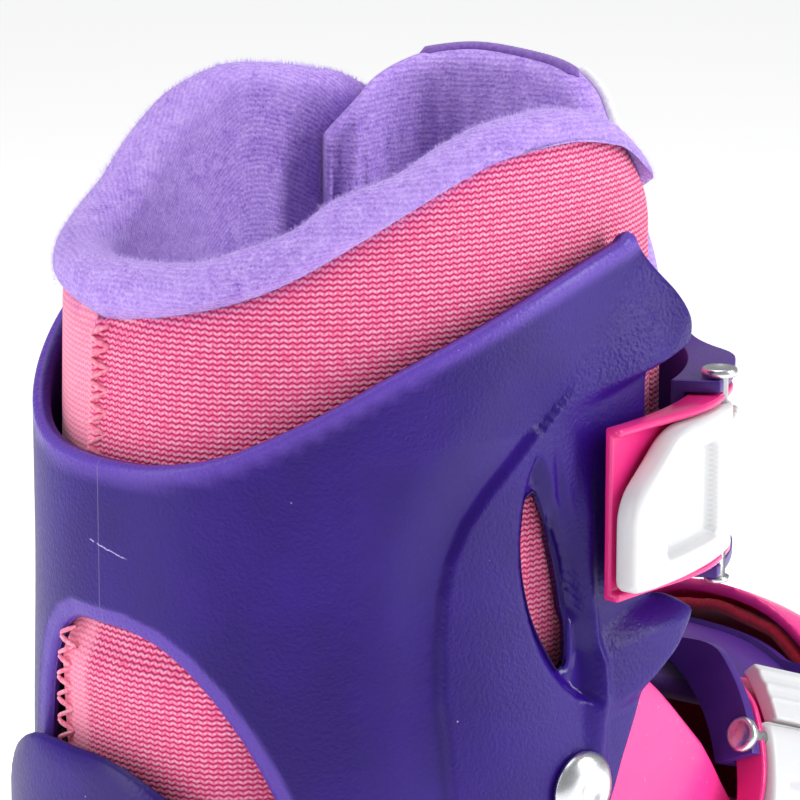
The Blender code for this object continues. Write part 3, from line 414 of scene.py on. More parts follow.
class Oval:  # a surface wrapped round an axis: angle round it, place across it, distance out of it
    def __init__(self, centre, back, side, halfLength, halfWidth, power):
        self.centre, self.back, self.side = (np.array(v, float) for v in (centre, back, side))
        self.axis = np.cross(self.back, self.side)
        self.halfLength, self.halfWidth, self.power = halfLength, halfWidth, power
        self.turns = np.linspace(-180, 400, 2321)
        line = self.at(self.turns, 0, 0)
        steps = np.linalg.norm(np.diff(line, axis=0), axis=1)
        self.arcs = np.concatenate([[0], np.cumsum(steps)])
        self.arcs -= np.interp(0, self.turns, self.arcs)

    def at(self, angle, across, out):
        angle, across, out = np.broadcast_arrays(*(np.asarray(v, float) for v in (angle, across, out)))
        turn = np.radians(angle)
        lengthwise = np.abs(np.cos(turn)) / (self.halfLength + out)
        sideways = np.abs(np.sin(turn)) / (self.halfWidth + out)
        reach = (lengthwise ** self.power + sideways ** self.power) ** (-1 / self.power)
        ray = np.cos(turn)[..., None] * self.back + np.sin(turn)[..., None] * self.side
        return self.centre + across[..., None] * self.axis + ray * reach[..., None]

    def arc(self, angle):
        return np.interp(angle, self.turns, self.arcs)

    def angle(self, arc):
        return np.interp(arc, self.arcs, self.turns)

    def grown(self, out):
        halfLength, halfWidth = self.halfLength + out, self.halfWidth + out
        return Oval(self.centre, self.back, self.side, halfLength, halfWidth, self.power)


def makeMesh(name, points, faces, sharpAngle=None):
    mesh = bpy.data.meshes.new(name)
    mesh.from_pydata([tuple(p) for p in points], [], faces)
    mesh.update()
    build = bmesh.new()
    build.from_mesh(mesh)
    bmesh.ops.recalc_face_normals(build, faces=build.faces)
    build.to_mesh(mesh)
    build.free()
    mesh.shade_smooth()
    if sharpAngle:
        mesh.set_sharp_from_angle(angle=math.radians(sharpAngle))
    return mesh


def addPiece(name, mesh, finish, body=None, replaces=()):
    piece = bpy.data.objects.new(name, mesh)
    bpy.context.scene.collection.objects.link(piece)
    for key in ([finish] if isinstance(finish, str) else finish):
        mesh.materials.append(finishes[key])
    if body:
        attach(piece, body)
    if replaces:
        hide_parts(*replaces)
    return piece


def keepValue(mesh, name, values):  # a number a vertex, and 0 for those after the last one given
    every = np.zeros(len(mesh.vertices), np.float32)
    every[:len(values)] = values
    mark = mesh.attributes.new(name, "FLOAT", "POINT")
    mark.data.foreach_set("value", every)


def keepCloth(mesh, places):  # places: two numbers a vertex, in millimetres, as a UV map
    layer = mesh.uv_layers.new(name="cloth")
    corners = np.zeros(len(mesh.loops), np.int32)
    mesh.loops.foreach_get("vertex_index", corners)
    layer.data.foreach_set("uv", np.asarray(places, np.float32)[corners].ravel())


def applied(piece):  # its modifiers made part of its mesh
    graph = bpy.context.evaluated_depsgraph_get()
    graph.update()
    mesh = bpy.data.meshes.new_from_object(piece.evaluated_get(graph))
    old = piece.data
    piece.modifiers.clear()
    piece.data = mesh
    bpy.data.meshes.remove(old)
    return piece


def welded(piece):
    weld = piece.modifiers.new("weld", "WELD")
    weld.merge_threshold = 0.00001
    return piece


def withBevel(piece, width, segments=3, angle=32):
    welded(piece)
    bevel = piece.modifiers.new("bevel", "BEVEL")
    bevel.width = width
    bevel.segments = segments
    bevel.angle_limit = math.radians(angle)
    bevel.harden_normals = False
    return piece


def gridFaces(rows, columns, closedRows=False, closedColumns=False):
    faces = []
    for r in range(rows if closedRows else rows - 1):
        for c in range(columns if closedColumns else columns - 1):
            near, far = r * columns, (r + 1) % rows * columns
            after = (c + 1) % columns
            faces.append((near + c, near + after, far + after, far + c))
    return faces


def loft(rings, caps=True):  # rings: (rings, points, 3), each ring closed
    count, size = rings.shape[:2]
    faces = gridFaces(count, size, closedColumns=True)
    if caps:
        faces.append(tuple(range(size)))
        faces.append(tuple(range((count - 1) * size, count * size)))
    return rings.reshape(-1, 3), faces


def roundedLoop(corners, step):
    points = []
    count = len(corners)
    for k, (x, y, radius) in enumerate(corners):
        here = np.array((x, y), float)
        before = np.array(corners[k - 1][:2], float) - here
        after = np.array(corners[(k + 1) % count][:2], float) - here
        reach = min(radius, 0.49 * np.linalg.norm(before), 0.49 * np.linalg.norm(after))
        if reach < step * 0.5:
            points.append(here)
            continue
        start = here + before / np.linalg.norm(before) * reach
        end = here + after / np.linalg.norm(after) * reach
        for share in np.linspace(0, 1, max(3, int(2 * reach / step) + 1)):
            points.append(start * (1 - share) ** 2 + here * 2 * share * (1 - share) + end * share ** 2)
    return resampled(np.array(points), step)


def resampled(loop, step):
    closed = np.vstack([loop, loop[:1]])
    lengths = np.linalg.norm(np.diff(closed, axis=0), axis=1)
    keep = np.concatenate([[True], lengths > 1e-9])
    closed, travel = closed[keep], np.concatenate([[0], np.cumsum(lengths[lengths > 1e-9])])
    places = np.linspace(0, travel[-1], max(8, int(round(travel[-1] / step))) + 1)[:-1]
    return np.stack([np.interp(places, travel, closed[:, k]) for k in (0, 1)], axis=1)


def insideLoop(points, loop):
    x, y = points[:, :1], points[:, 1:]
    x0, y0 = loop.T
    x1, y1 = np.roll(loop, -1, axis=0).T
    with np.errstate(divide="ignore", invalid="ignore"):
        crossing = ((y0 > y) != (y1 > y)) & (x < (x1 - x0) * (y - y0) / (y1 - y0) + x0)
    return crossing.sum(1) % 2 == 1


def edgeDistance(points, loops):
    best = np.full(len(points), np.inf)
    for loop in loops:
        start, end = loop, np.roll(loop, -1, axis=0)
        run = end - start
        for first in range(0, len(points), 4000):
            some = points[first:first + 4000]
            share = np.clip(((some[:, None] - start) * run).sum(2) / (run * run).sum(1), 0, 1)
            away = some[:, None] - (start + share[..., None] * run)
            nearest = np.sqrt((away ** 2).sum(2)).min(1)
            best[first:first + 4000] = np.minimum(best[first:first + 4000], nearest)
    return best


def filledSheet(outline, holes, edge, step, isFine=None, fineStep=None):
    loops = [outline, *holes]
    low, high = outline.min(0), outline.max(0)

    def lattice(pitch):
        xs = np.arange(low[0], high[0], pitch)
        ys = np.arange(low[1], high[1], pitch * 0.866)
        grid = np.array([(x + pitch * 0.5 * (k % 2), y) for k, y in enumerate(ys) for x in xs])
        keep = insideLoop(grid, outline)
        for hole in holes:
            keep &= ~insideLoop(grid, hole)
        return grid[keep]

    grid = lattice(step)
    if isFine is not None:
        dense = lattice(fineStep)
        grid = np.vstack([grid[~isFine(grid)], dense[isFine(dense)]])
    grid = grid[edgeDistance(grid, loops) > edge + 0.4 * (fineStep or step)]
    sets = [*loops, grid]
    for share in (0.076, 0.293, 0.617, 1.0):
        for loop in loops:
            along = np.roll(loop, -1, axis=0) - np.roll(loop, 1, axis=0)
            across = np.stack([-along[:, 1], along[:, 0]], axis=1) / np.linalg.norm(along, axis=1)[:, None]
            for side in (-1, 1):
                ring = loop + across * side * share * edge
                keep = edgeDistance(ring, loops) > share * edge * 0.985
                keep &= insideLoop(ring, outline)
                for hole in holes:
                    keep &= ~insideLoop(ring, hole)
                sets.append(ring[keep])
    points = np.vstack(sets)
    edges, start = [], 0
    for loop in loops:
        edges += [(start + k, start + (k + 1) % len(loop)) for k in range(len(loop))]
        start += len(loop)
    made = geometry.delaunay_2d_cdt([Vector(p) for p in points], edges, [], 0, 1e-7)
    flat = np.array([tuple(v) for v in made[0]])
    triangles = np.array(made[2])
    middles = flat[triangles].mean(1)
    keep = insideLoop(middles, outline)
    for hole in holes:
        keep &= ~insideLoop(middles, hole)
    return flat, triangles[keep], edgeDistance(flat, loops)


def shellMesh(name, outline, holes, shape, wall, edge, step, relief=None, isFine=None, fineStep=None,
              under=None):  # outer face, inner face and a rounded edge, with the outer face's vertices first
    flat, triangles, distance = filledSheet(outline, holes, edge, step, isFine, fineStep)
    drop = edge - np.sqrt(np.maximum(edge ** 2 - np.maximum(edge - distance, 0) ** 2, 0))
    rise = relief(flat, distance) if relief else np.zeros(len(flat))
    low = under(flat, distance) if under else np.full(len(flat), -wall)
    outer = shape(flat, rise - drop)
    inner = shape(flat, low + drop)
    count = len(flat)
    used = {}
    for a, b, c in triangles:
        for pair in ((a, b), (b, c), (c, a)):
            key = (min(pair), max(pair))
            used[key] = None if key in used else pair
    faces = [tuple(t) for t in triangles]
    faces += [(c + count, b + count, a + count) for a, b, c in triangles]
    faces += [(pair[1], pair[0], pair[0] + count, pair[1] + count) for pair in used.values() if pair]
    mesh = makeMesh(name, np.vstack([outer, inner]), faces)
    keepCloth(mesh, np.vstack([flat, flat]) * 1000)
    return mesh


collar = {"halfLength": 0.0545, "halfWidth": 0.0412}
leg = {
    "x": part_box("liner_collar")[0].x + collar["halfLength"],
    "rim": 0.189,              # lowest point of the cuff's rim
    "halfLength": 0.0594,
    "halfWidth": 0.0468,
    "power": 2.12,
    "pivotX": -0.042,
    "pivotZ": 0.131,
}
instep = {
    "x": 0.0124,
    "z": 0.0995,
    "slope": math.radians(20),
    "halfLength": 0.037,
    "halfWidth": 0.042,
    "power": 2.4,
}


def uprightOval(sizes):
    centre, back, side = (leg["x"], 0, 0), (-1, 0, 0), (0, -1, 0)
    return Oval(centre, back, side, sizes["halfLength"], sizes["halfWidth"], leg["power"])


legOval, linerOval = uprightOval(leg), uprightOval(collar)
instepOval = Oval((instep["x"], 0, instep["z"]), (-math.sin(instep["slope"]), 0, -math.cos(instep["slope"])),
                  (0, -1, 0), instep["halfLength"], instep["halfWidth"], instep["power"])


# cuff

cuff = {
    "wall": 0.0030,
    "edgeRound": 0.0012,
    "flare": 0.0032,
    "rimRise": 0.033,
    "lobeProud": 0.0050,
    "leafDepth": 0.0021,
    "leafRidge": 0.0013,
    "crescentDepth": 0.0012,
    "bandWidth": 0.0036,       # the bevelled band round the rear arch
    "bandDrop": 0.0009,
}
rimShape = [(0, 0), (8, 0.003), (20, 0.055), (35, 0.233), (53, 0.482), (74, 0.694), (100, 0.897), (121, 1)]


def cuffRim(angle):
    return leg["rim"] + cuff["rimRise"] * curveThrough(rimShape, np.abs(angle))


def cuffSurface(flat, out):
    angle = legOval.angle(flat[:, 0])
    flare = cuff["flare"] * (1 - ease(flat[:, 1], leg["pivotZ"], leg["pivotZ"] + 0.042))
    return legOval.at(angle, flat[:, 1], out + flare * np.sin(np.radians(angle)) ** 2)


def onLeg(points, radius=0.0):  # (angle, millimetres above the rim) made into outline corners
    return [(float(legOval.arc(p[0])), leg["rim"] + p[1] / 1000, p[2] if len(p) > 2 else radius)
            for p in points]


def flatLine(points):
    return np.array([p[:2] for p in onLeg(points)])


def sideOf(flat, line):  # signed distance from an open line, positive to the right of its run
    best, sign = np.full(len(flat), np.inf), np.ones(len(flat))
    for start, end in zip(line, line[1:]):
        run = end - start
        away = flat - start
        share = np.clip((away @ run) / (run @ run), 0, 1)
        gap = np.linalg.norm(away - share[:, None] * run, axis=1)
        turn = run[1] * away[:, 0] - run[0] * away[:, 1]
        near = gap < best
        best[near], sign[near] = gap[near], np.sign(turn[near])
    return best * sign


rimTop = [(float(a), float((cuffRim(a) - leg["rim"]) * 1000)) for a in np.arange(-110, 111, 5)]
outerFront = [(113.5, 33, 0.003), (117.5, 28.5), (122.5, 22), (127, 14.5, 0.003), (124, 10.5, 0.002),
              (119, 8, 0.002), (119, -30, 0.002), (126, -31.5, 0.002), (124.5, -35.4, 0.002),
              (118.8, -39.9, 0.002), (113, -44.5, 0.004), (109.5, -50.5), (106, -56), (103, -61.5, 0.004),
              (97, -70, 0.004), (93, -73, 0.003)]
innerFront = [(-93, -73, 0.003), (-97, -70, 0.004), (-103, -61.5, 0.004), (-109.5, -50.5),
              (-114, -41, 0.004), (-119, -30, 0.004), (-120, 12, 0.004), (-116, 29, 0.004),
              (-113, 33, 0.003)]
archEdge = [(41, -73, 0.003), (37, -65), (33.5, -57), (30, -50), (26.5, -44.2), (21.7, -37.8, 0.004),
            (16.7, -32.8, 0.004), (11.5, -29.5, 0.004), (5.5, -28, 0.004), (-6, -28, 0.004),
            (-9.8, -29.9, 0.004), (-13.7, -33.9, 0.004), (-16.6, -39.3, 0.004), (-18.3, -45.6, 0.004),
            (-19.6, -53), (-22, -59, 0.004), (-28, -64), (-38, -68), (-50, -72), (-57, -73)]
leafRound = 0.003              # radius of the leaf's corners, where none is given
leafWindow = [(84.9, -6.9, 0.001), (82.0, -8.1, 0.001), (80.9, -14.7), (81.5, -21.6), (83.5, -28.6),
              (87, -34.3), (90.2, -38.4, 0.001), (92.7, -36.9, 0.001), (93.6, -31.9), (93.2, -25),
              (91.2, -17.9), (88.2, -12.4)]
leafRecess = [(83.5, -0.5, 0.002), (80.9, -4.3), (79.4, -9.1), (78.7, -14.8), (79, -20.7), (80.6, -27.7),
              (83.4, -34.1), (87.6, -39.4), (93.4, -43.5), (97.4, -45.1, 0.0005), (98.8, -37.6),
              (98.1, -30.6), (96.1, -23.4), (93.6, -16.2), (90.5, -9.8), (87.6, -5.2),
              (84.6, -0.3, 0.0005)]
crescentEdge = flatLine([(84, 2.5), (76.6, -2.9), (71.9, -6.4), (67.4, -10.8), (64.2, -16.3), (62.8, -21.9),
                         (62.2, -28.5), (62, -38.6), (62.8, -45.4), (63.7, -55.7), (66, -74)])
crescentInner = flatLine([(84, -1), (70.3, -9.5), (71.2, -15.5), (70.6, -22.9), (68.4, -31), (66, -37.4),
                          (63.9, -46.4), (63.7, -56)])
upperCrease = flatLine([(118.8, 31.7), (113, 28.3), (106.8, 23.9), (99.9, 19), (94, 14.1), (89, 9.4),
                        (80, 1.0)])
upperFoot = flatLine([(80, 2.0), (90.1, 4.6), (98.6, 5.7), (108, 7), (117.1, 8.3), (130, 9.8)])
lowerCrest = flatLine([(94.5, -41.4), (97.9, -37.7), (102.4, -35.2), (110.6, -33.5), (130, -32.5)])
lowerFoot = flatLine([(88, -44.5), (94.5, -44.2), (101.1, -46.3), (107.6, -45.1), (112.9, -42.8),
                      (118.8, -39.9), (125.6, -35.4)])
ridgeLine = flatLine([(97.4, -45.1), (96.8, -61.5), (96, -74)])
saddleEdge = flatLine([(89, 0.5), (90.3, -3.7), (93, -10.9), (95.5, -19.7), (97.6, -28.5)])


def makeCuff():
    step = 0.0008
    corners = [*rimTop, *outerFront, (80, -73), (60, -73), *archEdge, (-75, -73), *innerFront]
    outline = roundedLoop(onLeg(corners), step)
    window = roundedLoop(onLeg(leafWindow, leafRound), step)
    recess = roundedLoop(onLeg(leafRecess, leafRound), step)
    arch = flatLine([p[:2] for p in archEdge])
    marks = {}

    def relief(flat, distance):
        angle = legOval.angle(flat[:, 0])
        rise = (flat[:, 1] - leg["rim"]) * 1000
        crease = -sideOf(flat, upperCrease)
        above = ease(-sideOf(flat, upperFoot), -0.0005, 0.0035)
        upper = ease(crease, 0.0, 0.016) * ease(angle, 84, 118) * above
        below = ease(sideOf(flat, lowerCrest), -0.0030, 0.0012)
        lowEnd = ease(-sideOf(flat, lowerFoot), -0.0022, 0.0022)
        lower = ease(angle, 93, 122) * below * (0.25 + 0.75 * lowEnd)
        lower *= ease(rise, -58, -44)
        height = cuff["lobeProud"] * (upper + lower * 0.92)
        height += 0.0007 * below * lowEnd * ease(angle, 92, 97) * ease(rise, -56, -45)
        scoop = -sideOf(flat, crescentEdge)
        toLeaf = ease(-scoop, 0, 0.0016) * (1 - ease(-scoop, 0.0025, 0.014))
        height -= cuff["crescentDepth"] * toLeaf * ease(angle, 40, 55)
        inRecess = insideLoop(flat, recess)
        depth = edgeDistance(flat, [recess]) * inRecess
        leafRidge = cuff["leafRidge"] * ease(angle, 93.5, 97.5)
        height += leafRidge * (1 - ease(angle, 98, 101)) * ease(rise, -60, -42) * (1 - ease(rise, -14, -2))
        height -= (cuff["leafDepth"] + leafRidge) * ease(depth, 0, 0.0018)
        saddle = ease(sideOf(flat, saddleEdge), -0.0004, 0.0008)
        height -= 0.0010 * saddle * ease(angle, 88, 91) * (1 - ease(rise, 1.5, 4.5)) * ease(rise, -31, -28)
        ridge = 1 - ease(np.abs(sideOf(flat, ridgeLine)), 0.0, 0.0035)
        height += 0.0008 * ridge * (1 - ease(rise, -47, -43)) * ease(angle, 85, 92)
        away = np.abs(sideOf(flat, arch))
        inBand = (1 - ease(away, cuff["bandWidth"] - 0.0008, cuff["bandWidth"])) * (np.abs(angle) < 46)
        height -= cuff["bandDrop"] * (1 - np.clip(away / cuff["bandWidth"], 0, 1)) * inBand
        crescent = ease(-scoop, 0.0, 0.0006) * (angle > 45) * (1 - ease(angle, 84, 90)) * (rise < 3)
        marks["polish"] = np.clip(0.75 * crescent + ease(depth, 0, 0.0008), 0, 1)
        # dark marks where the crescent shows a painted dark reflection, and holds back the edge mark's
        # painted highlight there
        inner = 1 - ease(sideOf(flat, crescentInner), -0.0004, 0.0004)
        dark = ease(-scoop, 0, 0.0006) * inner * (angle > 45)
        grained = ease(crease, 0.0, 0.002) * above * (angle > 86) + 0.35 * below * (angle > 97)
        marks["coarse"] = np.clip(grained, 0, 1) * ~inRecess
        # the edge mark is a painted highlight: 1 along the rim and on the arch's bevelled band, less where
        # the crescent's painted dark reflection lies
        belowRim = cuffRim(angle) - flat[:, 1]
        marks["edge"] = np.clip((1 - ease(belowRim, 0.0014, 0.0042)) + inBand * 0.85 - dark * 0.3, 0, 1)
        return height

    def isFine(grid):
        angle = legOval.angle(grid[:, 0])
        return (angle > 60) | ((angle > -25) & (angle < 42) & (grid[:, 1] < leg["rim"] - 0.022))

    mesh = shellMesh("cuff_shell", outline, [window], cuffSurface, cuff["wall"], cuff["edgeRound"],
                     0.0022, relief, isFine, 0.0007)
    for name, values in marks.items():
        keepValue(mesh, name, values)
    return addPiece("cuff_shell", mesh, "cuff", "cuff", ["cuff"])


makeCuff()
print("cuff made")


# heel counter

heelLength = [(0.062, 0.0585), (0.085, 0.0600), (0.105, 0.0590), (0.122, 0.0552), (0.150, 0.0548)]
ankleWidth = [(0.062, 0.0360), (0.085, 0.0410), (0.110, 0.0430), (0.131, 0.0450), (0.150, 0.0432)]
counter = {
    "wall": 0.0024,
    "toShell": 0.0007,
    "toCuff": 0.0013,
    "rim": 0.1402,
    "rimDrop": 0.030,
    "endAngle": 92,
    "endTop": 0.104,
    "foot": 0.063,
    "bandWidth": 0.0030,
}


def counterSurface(flat, out):
    angle, height = legOval.angle(flat[:, 0]), flat[:, 1]
    clear = ease(height, 0.096, 0.113)
    length = curveThrough(heelLength, height) + counter["toShell"]
    length = length + np.maximum(leg["halfLength"] + counter["toCuff"] - length, 0) * clear
    width = curveThrough(ankleWidth, height) + counter["toShell"]
    width = width + (leg["halfWidth"] + cuff["flare"] + counter["toCuff"] - width) * clear
    turn = np.radians(angle)
    lengthwise = np.abs(np.cos(turn)) / (length + counter["wall"] + out)
    sideways = np.abs(np.sin(turn)) / (width + counter["wall"] + out)
    reach = (lengthwise ** leg["power"] + sideways ** leg["power"]) ** (-1 / leg["power"])
    return np.stack([leg["x"] - np.cos(turn) * reach, -np.sin(turn) * reach, height], axis=1)


def makeCounter():
    rim = []
    for angle in range(-88, 89, 4):
        drop = counter["rimDrop"] * float(ease(abs(angle + 4), 5, 62))
        rim.append((float(legOval.arc(angle)), counter["rim"] - drop, 0))
    right, left = (float(legOval.arc(side * counter["endAngle"])) for side in (1, -1))
    outline = roundedLoop([*rim, (right, counter["endTop"], 0.004), (right, counter["foot"], 0.004),
                           (left, counter["foot"], 0.004), (left, counter["endTop"], 0.004)], 0.001)
    top = np.array([p[:2] for p in rim])
    marks = {}

    def relief(flat, distance):
        away = np.abs(sideOf(flat, top))
        band = 1 - ease(away, counter["bandWidth"] - 0.0008, counter["bandWidth"])
        marks["polish"] = band * 0.2
        return -0.0007 * (1 - np.clip(away / counter["bandWidth"], 0, 1)) * band

    mesh = shellMesh("heel_cup", outline, [], counterSurface, counter["wall"], 0.0009, 0.0022, relief)
    keepValue(mesh, "polish", marks["polish"])
    return addPiece("heel_cup", mesh, "counter", "shell", ["heel_counter"])


makeCounter()
print("heel counter made")


# lower shell and toe shell

shell = {
    "floor": 0.062,
    "wall": 0.0024,
    "frontX": 0.074,
    "ballHalfWidth": 0.0440,
    "rim": [(-0.074, 0.1275), (-0.062, 0.147), (-0.028, 0.147), (-0.005, 0.129), (0.008, 0.112),
            (0.030, 0.102), (0.070, 0.088)],
    "toeFront": 0.110,
    "toeHeight": 0.047,
    "toeHalfWidth": 0.0392,
    "noseX": 0.058,            # where the toe starts to round off
    "nosePower": 2.3,
    "wingX": -0.008,
    "gap": 0.0004,
}


def shellHalfWidth(x, height):
    ankle = curveThrough(ankleWidth, height)
    ball = shell["ballHalfWidth"] - 0.006 * (1 - ease(height, shell["floor"], shell["floor"] + 0.014))
    ball = ball - 0.0025 * ease(height, 0.084, 0.090)
    return ankle + (ball - ankle) * ease(x, leg["x"], 0.020)


def shellRing(share, inset, floorZ, lift=0.0):
    front = shell["frontX"] - inset
    turn = np.radians(np.linspace(0, 90, 30))
    first = np.concatenate([-np.cos(turn), np.linspace(leg["x"], front, 42)[1:]])
    second = np.concatenate([np.sin(turn), np.ones(41)])
    behind = np.arange(len(first)) < 30
    roughX = np.where(behind, leg["x"] + first * 0.058, first)
    height = floorZ + (curveThrough(shell["rim"], roughX) + lift - floorZ) * (1 - share)
    length = curveThrough(heelLength, height) - inset
    width = curveThrough(ankleWidth, height) - inset
    lengthwise, sideways = np.abs(first) / length, np.abs(second) / width
    reach = (lengthwise ** leg["power"] + sideways ** leg["power"]) ** (-1 / leg["power"])
    xs = np.where(behind, leg["x"] + first * reach, first)
    ys = np.where(behind, second * reach, shellHalfWidth(first, height) - inset)
    low = np.stack([xs, -ys, height], axis=1)
    high = np.stack([xs, ys, height], axis=1)
    return np.vstack([low, high[::-1][:-1]])


def cutBy(piece, cutter, operation="DIFFERENCE"):
    change = piece.modifiers.new("cut", "BOOLEAN")
    change.object, change.operation, change.solver = cutter, operation, "EXACT"
    applied(piece)
    bpy.data.objects.remove(cutter)
    return piece


def plainObject(name, points, faces):
    piece = bpy.data.objects.new(name, makeMesh(name, points, faces))
    bpy.context.scene.collection.objects.link(piece)
    return piece


def blockObject(low, high):
    corners = [(x, y, z) for x in (low[0], high[0]) for y in (low[1], high[1]) for z in (low[2], high[2])]
    faces = [(0, 1, 3, 2), (4, 6, 7, 5), (0, 4, 5, 1), (2, 3, 7, 6), (0, 2, 6, 4), (1, 5, 7, 3)]
    return plainObject("cutter", corners, faces)


def remeshed(piece, size, smoothing, faces=None):
    remesh = piece.modifiers.new("remesh", "REMESH")
    remesh.mode, remesh.voxel_size = "VOXEL", size
    soften = piece.modifiers.new("soften", "SMOOTH")
    soften.factor, soften.iterations = 0.5, smoothing
    applied(piece)
    if faces and len(piece.data.polygons) * 2 > faces:
        fewer = piece.modifiers.new("fewer", "DECIMATE")
        fewer.ratio = faces / (len(piece.data.polygons) * 2)
        applied(piece)
    piece.data.shade_smooth()
    return piece


def dressed(piece, name, finish, body, replaces):
    piece.name = name
    piece.data.materials.clear()
    piece.data.materials.append(finishes[finish])
    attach(piece, body)
    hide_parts(*replaces)
    return piece


def makeLowerShell():
    wall = shell["wall"]
    rings = [shellRing(share, 0, shell["floor"]) for share in np.linspace(1, 0, 30)]
    for turn in np.radians(np.linspace(15, 165, 9)):
        inset, lift = wall / 2 * (1 - math.cos(turn)), wall / 2 * math.sin(turn)
        rings.append(shellRing(0, inset, shell["floor"], lift))
    rings += [shellRing(share, wall, shell["floor"] + wall) for share in np.linspace(0, 1, 24)]
    piece = plainObject("lower_shell_body", *loft(np.array(rings)))
    front = blockObject((shell["frontX"] - 0.006, -0.060, shell["floor"] + wall), (0.084, 0.060, 0.120))
    cutBy(piece, front)
    withBevel(piece, 0.0005, 2, 50)
    applied(piece)
    piece.data.shade_smooth()
    piece.data.set_sharp_from_angle(angle=math.radians(60))
    return dressed(piece, "lower_shell_body", "pink", "shell", ["lower_shell"])


def toeRing(x, inset, low):
    front = shell["toeFront"] - inset
    share = max((x - shell["noseX"]) / (front - shell["noseX"]), 0)
    nose = max(1 - share ** shell["nosePower"], 0.0) ** (1 / shell["nosePower"])
    clear = shell["wall"] + shell["gap"] + inset

    def inside(height):  # room for the toe shell within the lower shell
        return float(shellHalfWidth(min(x, shell["noseX"]), height)) - clear

    halfWidth = min(inside(0.095), shell["toeHalfWidth"] - inset) * nose
    lowWidth, footWidth = (min(inside(height) * nose, halfWidth) for height in (low + 0.005, low))
    cap = shell["floor"] + shell["toeHeight"]
    roof = float(curveThrough([(0.041, 0.141), (0.055, 0.135), (0.074, cap + 0.013), (0.092, cap + 0.003),
                               (0.110, cap - 0.006)], x)) - inset
    top = low + 0.018 + (roof - low - 0.018) * (1 - share ** 5)
    turn = np.radians(np.linspace(0, 180, 61))
    ys = -halfWidth * np.sign(np.cos(turn)) * np.abs(np.cos(turn)) ** 0.80
    zs = low + 0.012 + (top - low - 0.012) * np.sin(turn) ** 0.80
    upper = np.stack([np.full(61, x), ys, zs], axis=1)
    lower = [(x, lowWidth, low + 0.005), (x, footWidth, low), (x, -footWidth, low),
             (x, -lowWidth, low + 0.005)]
    return np.vstack([upper, lower])


def makeToeShell():
    low = shell["floor"] + shell["wall"] + shell["gap"]

    def stations(front):
        nose = shell["noseX"] + (front - shell["noseX"]) * np.sin(np.radians(np.linspace(3, 87, 30)))
        return np.concatenate([np.linspace(shell["wingX"], shell["noseX"], 40), nose])

    outer = [toeRing(x, 0, low) for x in stations(shell["toeFront"])]
    wall = shell["wall"]
    inner = [toeRing(x, wall, low + wall) for x in stations(shell["toeFront"] - wall)]
    rings = np.array(outer[::-1] + inner)
    piece = plainObject("toe_box", *loft(rings))
    outline = roundedLoop([(-0.060, 0.124, 0), (-0.006, 0.124, 0.006), (0.014, 0.112, 0.010),
                           (0.028, 0.108, 0.008), (0.040, 0.113, 0.012), (0.046, 0.126, 0.012),
                           (0.048, 0.170, 0), (-0.060, 0.170, 0)], 0.001)
    sides = [np.stack([outline[:, 0], np.full(len(outline), y), outline[:, 1]], axis=1)
             for y in (-0.060, 0.060)]
    cutBy(piece, plainObject("throat", *loft(np.array(sides))))
    remeshed(piece, 0.00085, 4, 60000)
    return dressed(piece, "toe_box", "pink", "toe", ["toe_shell"])


makeLowerShell()
makeToeShell()
print("shells made")


# liner, fleece and tongue

liner = {
    "thickness": 0.0085,
    "endAngle": 139,
    "puff": 0.0009,
    "bulge": 0.0026,           # where it presses out through the cuff's rear arch
    "rollProud": 0.0014,
    "low": 0.094,
    "seamAngle": -3.6,
    "napHeight": 0.0011,
    "napCount": 14000,
}
fleeceFoot = [(-139, 0.034), (-120, 0.0465), (-97, 0.049), (-66, 0.0405), (-50, 0.0335), (-30, 0.0265),
              (-4, 0.0216), (8, 0.0231), (18, 0.0251), (27, 0.0276), (35, 0.0308), (44, 0.0350),
              (54, 0.0393), (65.5, 0.0436), (78.5, 0.0474), (97, 0.0495), (120, 0.0470), (135, 0.0394),
              (139, 0.0360)]
rollTop = [(-139, 0.0440), (-126, 0.0495), (-97, 0.0525), (-80, 0.0500), (-66, 0.0440), (-54, 0.0375),
           (-35, 0.0330), (-10, 0.0310), (14, 0.0322), (23, 0.0347), (33, 0.0380), (41, 0.0427),
           (54, 0.0460), (65.5, 0.0501), (78.5, 0.0528), (97, 0.0536), (116, 0.0512), (130, 0.0455),
           (139, 0.0400)]


def rollShape(angle):  # its thickness, how far it stands out, half of both, its top and its foot
    taper = math.sqrt(min(max((liner["endAngle"] - abs(angle)) / 9.0, 0), 1))
    thick = liner["thickness"] * (0.30 + 0.70 * taper)
    proud = liner["rollProud"] * (0.4 + 0.6 * taper)
    top = leg["rim"] + float(curveThrough(rollTop, angle))
    foot = leg["rim"] + float(curveThrough(fleeceFoot, angle))
    return thick, proud, (thick + proud) / 2, top, foot


def seamPath(rise):  # angle of the rear seam at a height in millimetres above the rim
    return curveThrough([(-60, -11.8), (-41, -12), (-30, -9.9), (0, -4.7), (8, -3.9), (21, -3.2)], rise)


def clothMesh(name, rows, kinds, places, pale, ends):  # kinds along a row: 0 for knit, 1 for fleece
    mesh = makeMesh(name, *loft(np.array(rows)))
    around = [int(here and after) for here, after in zip(kinds, kinds[1:] + kinds[:1])]
    mesh.polygons.foreach_set("material_index", around * (len(rows) - 1) + [ends] * 2)
    keepCloth(mesh, places)
    keepValue(mesh, "pale", pale)
    return mesh


